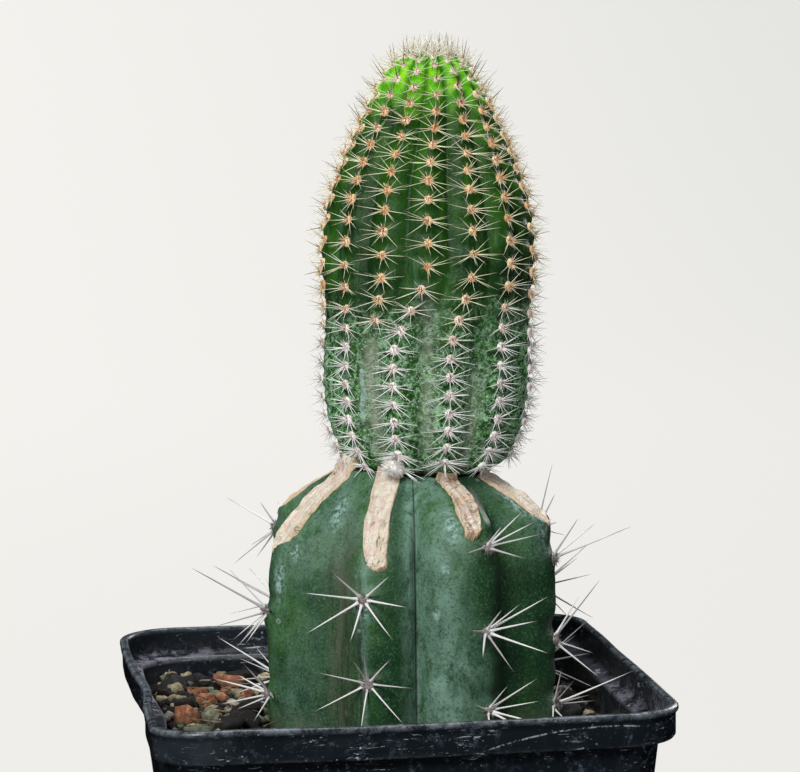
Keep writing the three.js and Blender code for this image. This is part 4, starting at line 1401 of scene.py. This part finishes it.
def areole_spines(random, spine):
    """A flat fan of radials on each areole, and one or two stouter spines that stand out of it."""
    for rib, angle, z, radius, tilt in scion_areoles():
        seat = Seat(scion_point(angle, radius + 0.45, z), angle, tilt)
        old = areole_age(rib, z)
        tip_share = smoothstep(z, 182, 197)
        reach = lerp(1.0, 0.78, tip_share) * lerp(1.0, 0.9, old)
        for clock, lift, length in RADIALS * (2 if z < DOUBLE_FAN_Z else 1):
            if random.uniform() < lerp(0.18, 0.5, tip_share):
                continue
            turned = clock + random.normal(0, 8)
            raised = lift + random.normal(0, 7) + 12 * tip_share
            rosy = 0.3 * tip_share * random.uniform()
            long = length * reach * random.uniform(0.7, 1.14)
            spine(seat, turned, raised, long, lerp(RADIAL_GIRTH, CROWN_GIRTH, old), old, rosy)
        for _ in range(random.integers(1, 3)):
            clock = random.normal(90, 28) if tip_share > 0.2 else random.uniform(0, 360)
            length = random.uniform(2.6, 3.8) * lerp(1.0, 1.25, tip_share)
            dark = random.choice([0.25, 0.5, 1.0]) * lerp(0.8, 1.0, tip_share) * (1 - 0.7 * old)
            spine(seat, clock, random.uniform(45, 75), length, CENTRAL_GIRTH, old, dark)


def crown_spines(random, spine):
    """The young spines that stand in a dense tuft over the growing point."""
    for ring, (count, reach) in enumerate(CROWN_RINGS):
        for i in range(count):
            angle = (i + 0.5 * ring + random.uniform(-0.2, 0.2)) * 360 / count
            seat = Seat(scion_point(angle, reach, SCION_TIP_Z - 0.035 * reach**2), angle, 84 - 7 * reach)
            for _ in range(CROWN_SPINES):
                clock = random.uniform(0, 360)
                dark = random.choice([0.0, 0.0, 0.08, 0.25])
                spine(seat, clock, random.uniform(15, 80), random.uniform(2.2, 4.4), CROWN_GIRTH, 0.6, dark)


def scion_spines():
    random = np.random.default_rng(SEED + 50)
    needles = []

    def spine(seat, clock, lift, length, girth, old, dark):
        way = seat.way(clock, lift)
        tip = seat.centre + way * length
        tip[2] = max(tip[2], SCION_BASE_Z - 0.6)
        needles.append((seat.centre + way * 0.25 - seat.out * 0.1, tip, girth, old, dark))

    areole_spines(random, spine)
    crown_spines(random, spine)
    starts, ends, radii, olds, darks = zip(*needles)
    seeds = random.uniform(0, 1, len(starts))
    sag = random.normal(0, 0.012, len(starts))
    spines = Piece("scion_spines", "along", "seed", "old", "dark")
    spines.add_needles(starts, ends, radii, 4, SCION_NEEDLE, sag=sag, seed=seeds, old=olds, dark=darks)
    spines.make(scion_spine_look(), "scion_skin")


AREOLE_HAIRS = 22
AREOLE_HAIR_RADIUS = 0.07


def scion_wool():
    """The felt of each areole: a low cushion with a dark slit, and hairs that lie out from it."""
    random = np.random.default_rng(SEED + 51)
    wool = Piece("scion_wool", "along", "seed", "old", "core")
    shape, faces = ball(2)
    pip, pip_faces = ball(1)
    roots, tips, olds = [], [], []
    for rib, angle, z, radius, tilt in scion_areoles():
        seat = Seat(scion_point(angle, radius + 0.35, z), angle, tilt)
        old = max(areole_age(rib, z), 0.7 * smoothstep(z, 188, 198))
        size = random.uniform(0.95, 1.25) * lerp(1.0, 0.7, smoothstep(z, 186, 199))
        cushion = seat.points(shape * [0.7 * size, 0.78 * size, 0.42])
        wool.add(cushion, faces, along=0.5, seed=random.uniform(0, 1), old=old, core=0.0)
        turn = Matrix.Rotation(math.radians(random.normal(0, 22)), 3, "Z")
        slit = pip @ np.diag([0.15, 0.5 * size, 0.16]) + [0, 0, 0.36]
        slit = seat.points(slit @ np.array(turn))
        wool.add(slit, pip_faces, along=0.5, seed=0.5, old=old, core=random.uniform(0.5, 1.0))
        for _ in range(AREOLE_HAIRS):
            way = seat.way(random.uniform(0, 360), random.uniform(15, 60))
            roots.append(seat.centre + way * 0.4)
            tips.append(seat.centre + way * random.uniform(0.9, 1.6) * size)
            olds.append(old)
    seeds = random.uniform(0, 1, len(roots))
    wool.add_needles(roots, tips, AREOLE_HAIR_RADIUS, 3, HAIR, seed=seeds, old=olds, core=0.0)
    wool.make(scion_wool_look(), "scion_skin")


CURLED_HAIR = [(0, 1), (0.35, 0.9), (0.7, 0.7)]
CURLED_HAIR_RADIUS = 0.04


def hair_ball(piece, centre, radius, hairs, length, random, squash):
    """A tuft of fine wool: a small core under curled hairs."""
    shape, faces = ball(2)
    lumps = 0.8 + 0.12 * Ripples(SEED + 60, 1.2)(shape * radius)
    piece.add(centre + shape * lumps[:, None] * radius * [1, 1, squash], faces, along=0.4, seed=0.7)
    ways = unit(random.normal(size=(hairs, 3)))
    roots = centre + ways * radius * 0.7 * [1, 1, squash]
    loose = unit(ways + random.normal(size=(hairs, 3)) * 0.75)
    tips = roots + loose * random.uniform(0.5, 1.0, (hairs, 1)) * length
    seeds = random.uniform(0, 1, hairs)
    sag = random.normal(0, 0.16, hairs)
    piece.add_needles(roots, tips, CURLED_HAIR_RADIUS, 3, CURLED_HAIR, sag=sag, seed=seeds)


# Angle of each tuft on the growing point, and its distance from it.
CROWN_TUFTS = [(0, 0.2), (20, 1.9), (110, 2.0), (200, 1.8), (290, 2.1), (-60, 3.4), (-130, 3.3), (-95, 3.6)]


def white_wool():
    """White wool over the growing point, and the lump of it at the foot of one rib."""
    random = np.random.default_rng(SEED + 61)
    look = felt_look("white_wool_look", (232, 228, 222), (255, 254, 252))
    crown = Piece("crown_wool", "along", "seed")
    for angle, reach in CROWN_TUFTS:
        centre = scion_point(angle, reach, SCION_TIP_Z + 0.3 - 0.07 * reach**2)
        hair_ball(crown, centre, 0.7, 120, 1.6, random, 0.6)
    crown.make(look, "scion_skin")
    tuft = Piece("graft_tuft", "along", "seed")
    centre = scion_point(-121.0, 16.0, 128.2)
    hair_ball(tuft, centre, 1.75, 620, 1.3, random, 0.85)
    hair_ball(tuft, centre + [0.9, -0.3, -0.7], 1.1, 240, 1.1, random, 0.8)
    tuft.make(look, "scion_skin")


# ---------------------------------------------------------------- soil

SOIL_GAP = 0.3
STEM_GAP = 0.35
SOIL_RINGS = 60
THROWS = 60


def stem_radius(angle, z):
    """Outer radius of the rootstock in a direction from its axis."""
    radius = np.zeros_like(angle)
    for rib, (before, crest, after) in enumerate(stock_rib_sides()):
        turn = turn_between(angle, crest)
        share = np.abs(np.where(turn < 0, turn / (crest - before), turn / (after - crest)))
        inside = share <= 1
        share = np.clip(share, 0, 1)
        drop = 0.32 * share + 0.68 * share**2.5
        here = lerp(stock_crest_radius(STOCK_RIBS[rib][3], z), stock_furrow_radius(z), drop)
        radius = np.where(inside, np.maximum(radius, here), radius)
    return radius


def soil_height(points):
    x, y = points[..., 0], points[..., 1]
    return SOIL_LEVEL - SOIL_SLOPE * x + 0.5 * np.sin(x * 0.16) * np.cos(y * 0.13)


def stem_ring(outer, z):
    """Points just clear of the stem that lie towards the points of an outer ring."""
    axis = np.array([STOCK_X, STOCK_Y, 0.0])
    offset = outer - axis
    angle = np.degrees(np.arctan2(offset[:, 1], offset[:, 0]))
    ring = axis + direction(angle) * (stem_radius(angle, np.full_like(angle, z)) + STEM_GAP)[:, None]
    ring[:, 2] = z
    return ring


def make_soil():
    """The bed under the gravel: a crumbly surface round a plain hole for the stem."""
    outer = pot_inside(SOIL_LEVEL, SOIL_GAP)
    hole = [stem_ring(outer, z) for z in (STOCK_FOOT_Z - 0.4, 66, 72, 78)]
    lip = stem_ring(outer, SOIL_LEVEL)
    crumbs = Ripples(SEED + 70, 3.5, 16)
    fine = Ripples(SEED + 71, 1.6, 16)
    surface = []
    for share in np.linspace(0, 1, SOIL_RINGS):
        ring = lerp(lip, outer, share)
        edge = smoothstep(share, 0, 0.06) * smoothstep(share, 1, 0.94)
        ring[:, 2] = soil_height(ring) - 0.9 + edge * (0.55 * crumbs(ring) + 0.22 * fine(ring))
        surface.append(ring)
    sides = [pot_inside(z, SOIL_GAP) for z in (72.0, 50.0, 25.0, POT_FLOOR + SOIL_GAP)]
    bed = Piece("soil_bed")
    bed.add_rings(np.stack([*hole, *surface, *sides]))
    bed.make(soil_look(), "gravel_soil", "soil")


class Gravel:
    """Throws stones on the soil so that each lies clear of those before it."""

    def __init__(self, seed):
        self.random = np.random.default_rng(seed)
        self.taken = np.zeros((0, 3))

    def throw(self, radius, crowding):
        """A free spot for a stone of this radius, or None. Less crowding lets stones lie closer."""
        reach = pot_body_half(SOIL_LEVEL) - POT_WALL - radius * 0.95 - SOIL_GAP
        for _ in range(THROWS):
            spot = self.random.uniform(-reach, reach, 2)
            corner = np.maximum(np.abs(spot) - (reach - 6), 0)
            x, y = spot - [STOCK_X, STOCK_Y]
            stem = stem_radius(np.array([np.degrees(np.arctan2(y, x))]), np.array([SOIL_LEVEL]))[0]
            clear = np.hypot(x, y) > stem + radius * 0.8 and np.hypot(*corner) < 6.5
            gaps = np.hypot(*(self.taken[:, :2] - spot).T)
            if clear and np.all(gaps > (self.taken[:, 2] + radius) * crowding):
                self.taken = np.vstack([self.taken, [*spot, radius]])
                return spot
        return None


def add_stone(piece, shape, faces, centre, radius, random):
    """A broken stone: a ball cut down by random planes, then squashed and turned."""
    normals = unit(random.normal(size=(13, 3)))
    depths = random.uniform(0.45, 0.78, 13)
    facing = np.maximum(shape @ normals.T, 0.02)
    cut = np.minimum((depths / facing).min(1), 1.25)
    local = shape * cut[:, None] * random.uniform([1.15, 0.9, 0.7], [1.6, 1.25, 1.05])
    local += 0.04 * local * Ripples(int(random.integers(1 << 30)), 0.45, 8)(shape)[:, None]
    turn = Matrix.Rotation(random.uniform(0, 6.283), 3, "Z") @ Matrix.Rotation(random.normal(0, 0.5), 3, "X")
    points = local @ np.array(turn).T * radius
    # how low each point lies, for painted shade under the stone
    low = np.clip(0.7 - points[:, 2] / radius, 0, 1)
    piece.add(points + centre, faces, seed=random.uniform(0, 1), low=low)


STONE_KINDS = [
    # name, share, roughness, dark, base, light, speck
    ("terracotta", 0.12, 0.9, (66, 38, 26), (146, 90, 60), (208, 156, 116), (232, 206, 178)),
    ("cream", 0.16, 0.85, (96, 86, 60), (176, 164, 126), (232, 224, 194), (246, 240, 224)),
    ("moss_grey", 0.22, 0.85, (48, 52, 40), (110, 114, 90), (184, 188, 160), (212, 216, 196)),
    ("lava_black", 0.2, 0.8, (6, 7, 8), (15, 16, 19), (44, 47, 52), (138, 144, 150)),
    ("pumice_white", 0.06, 0.9, (112, 108, 98), (180, 176, 164), (228, 226, 216), (80, 76, 70)),
    ("humus_brown", 0.25, 0.95, (10, 7, 6), (26, 19, 15), (60, 45, 34), (130, 106, 82)),
]
STONE_SIZES = [
    # tries, smallest and largest radius, crowding, fineness of the ball
    (90, 1.7, 2.9, 0.9, 3),
    (170, 1.1, 1.8, 0.78, 3),
    (460, 0.5, 1.05, 0.6, 2),
]


def make_gravel():
    random = np.random.default_rng(SEED + 80)
    gravel = Gravel(SEED + 81)
    shares = np.array([kind[1] for kind in STONE_KINDS])
    pieces = [Piece(f"gravel_{kind[0]}", "seed", "low") for kind in STONE_KINDS]
    for tries, smallest, largest, crowding, level in STONE_SIZES:
        shape, faces = ball(level)
        for _ in range(tries):
            radius = random.uniform(smallest, largest)
            spot = gravel.throw(radius, crowding)
            if spot is None:
                continue
            z = soil_height(spot) - 0.55 + radius * random.uniform(0.0, 0.5)
            kind = random.choice(len(pieces), p=shares / shares.sum())
            add_stone(pieces[kind], shape, faces, np.array([*spot, z]), radius, random)
    for piece, (name, _, roughness, *tones) in zip(pieces, STONE_KINDS):
        piece.make(stone_look(f"{name}_look", roughness, *tones), "gravel_soil")


ROOTLETS = 70
ROOTLET = [(0, 1), (0.2, 1.1), (0.4, 0.9), (0.6, 1.0), (0.8, 0.7)]
SHED_SPINE_FOOT = (-27.5, -27.5, 84.9)
SHED_SPINE_TIP = (-35.5, -33.5, 84.3)


def make_litter():
    """Dry rootlets and straw on the gravel, and one shed spine."""
    random = np.random.default_rng(SEED + 90)
    gravel = Gravel(SEED + 91)
    limit = pot_body_half(SOIL_LEVEL) - POT_WALL - 0.8
    starts, ends = [], []
    for _ in range(ROOTLETS):
        spot = gravel.throw(1.6, 0.1)
        way = direction(random.uniform(0, 360)) * random.uniform(1.6, 5.5)
        level = soil_height(spot) + random.uniform(0.3, 1.6)
        start = np.array([*spot, level]) - way / 2
        end = np.array([*spot, level + random.uniform(-0.5, 1.6)]) + way / 2
        for tip, found in ((start, starts), (end, ends)):
            tip[:2] = np.clip(tip[:2], -limit, limit)
            found.append(tip)
    litter = Piece("rootlets", "along", "seed")
    seeds = random.uniform(0, 1, len(starts))
    sag = random.normal(0, 0.09, len(starts))
    radii = random.uniform(0.08, 0.2, len(starts))
    litter.add_needles(starts, ends, radii, 5, ROOTLET, sag=sag, seed=seeds)
    litter.make(fibre_look(), "gravel_soil")
    shed = Piece("shed_spine", "along", "seed")
    shed.add_needles([SHED_SPINE_FOOT], [SHED_SPINE_TIP], 0.22, 8, STOCK_NEEDLE, seed=0.1)
    shed.make(stock_spine_look(), "rootstock_skin")


# ---------------------------------------------------------------- studio

CAMERA_PLACE = (-73.04, -499.35, 197.75)
CAMERA_AZIMUTH = math.radians(-8.68)
CAMERA_ELEVATION = math.radians(6.42)
CAMERA_ROLL = math.radians(-0.58)
CAMERA_LENS = 128.15

STAGE_RADIUS = 2.4  # metres, as all lengths that follow
STAGE_FLAT = 1.4
STAGE_TOP = 3.2
STAGE_SIDES = 96

AMBIENT = 0.4
LIGHT_TARGET = (0.005, 0.0, 0.12)
LIGHTS = [
    # name, place, size, power, colour
    ("key", (-0.5, -0.8, 0.8), 0.42, 12.5, (1.0, 0.985, 0.96)),
    ("top", (0.15, 0.3, 1.2), 0.6, 5.0, (0.95, 0.98, 1.0)),
    ("rear", (0.75, 0.85, 0.55), 0.5, 5.0, (1.0, 1.0, 1.0)),
]


def make_camera():
    flat = math.cos(CAMERA_ELEVATION)
    x, y = math.sin(CAMERA_AZIMUTH) * flat, -math.cos(CAMERA_AZIMUTH) * flat
    back = Vector((x, y, math.sin(CAMERA_ELEVATION)))
    level = Vector((0, 0, 1)).cross(back).normalized()
    above = back.cross(level)
    right = level * math.cos(CAMERA_ROLL) + above * math.sin(CAMERA_ROLL)
    up = above * math.cos(CAMERA_ROLL) - level * math.sin(CAMERA_ROLL)
    data = bpy.data.cameras.new("camera")
    data.lens = CAMERA_LENS
    data.sensor_width = 36
    camera = add_object("camera", data)
    turn = Matrix((right, up, back)).transposed().to_4x4()
    camera.matrix_world = Matrix.Translation(Vector(CAMERA_PLACE) * MM) @ turn
    bpy.context.scene.camera = camera


def make_lights():
    """One large soft key light from the upper left, and two weaker ones above and behind."""
    for name, place, size, power, colour in LIGHTS:
        data = bpy.data.lights.new(name, "AREA")
        data.shape = "DISK"
        data.size = size
        data.energy = power
        data.color = colour
        light = add_object(name, data)
        light.location = place
        way = Vector(LIGHT_TARGET) - Vector(place)
        light.rotation_euler = way.to_track_quat("-Z", "Y").to_euler()
    world = bpy.data.worlds.new("studio_world")
    world.use_nodes = True
    background = world.node_tree.nodes["Background"]
    background.inputs["Color"].default_value = paint(238, 240, 242)
    background.inputs["Strength"].default_value = AMBIENT
    world.cycles_visibility.glossy = False
    bpy.context.scene.world = world


def make_stage():
    """A pale paper bowl round the part."""
    bend = STAGE_RADIUS - STAGE_FLAT
    profile = [(0.1, 0.0), (0.3, 0.0), (0.8, 0.0), (STAGE_FLAT, 0.0)]
    for turn in np.linspace(0.1, 1.5, 14):
        profile.append((STAGE_FLAT + bend * math.sin(turn), bend * (1 - math.cos(turn))))
    profile.append((STAGE_RADIUS, STAGE_TOP))
    turns = np.radians(np.arange(STAGE_SIDES) * 360 / STAGE_SIDES)
    points = [(r * math.cos(t), r * math.sin(t), z) for r, z in profile for t in turns]
    faces = [face[::-1] for face in ring_faces(len(profile), STAGE_SIDES)]
    paper = make_mesh("studio_paper", points, [*faces, list(range(STAGE_SIDES))], stage_look())
    paper.visible_diffuse = False
    paper.visible_glossy = False


# ---------------------------------------------------------------- assembly

make_camera()
make_stage()
make_lights()
make_pot()
make_soil()
make_gravel()
make_litter()
stock_skin()
stock_spines()
stock_felt()
make_scars()
scion_skin()
scion_spines()
scion_wool()
white_wool()

bpy.context.scene.view_settings.view_transform = "Standard"
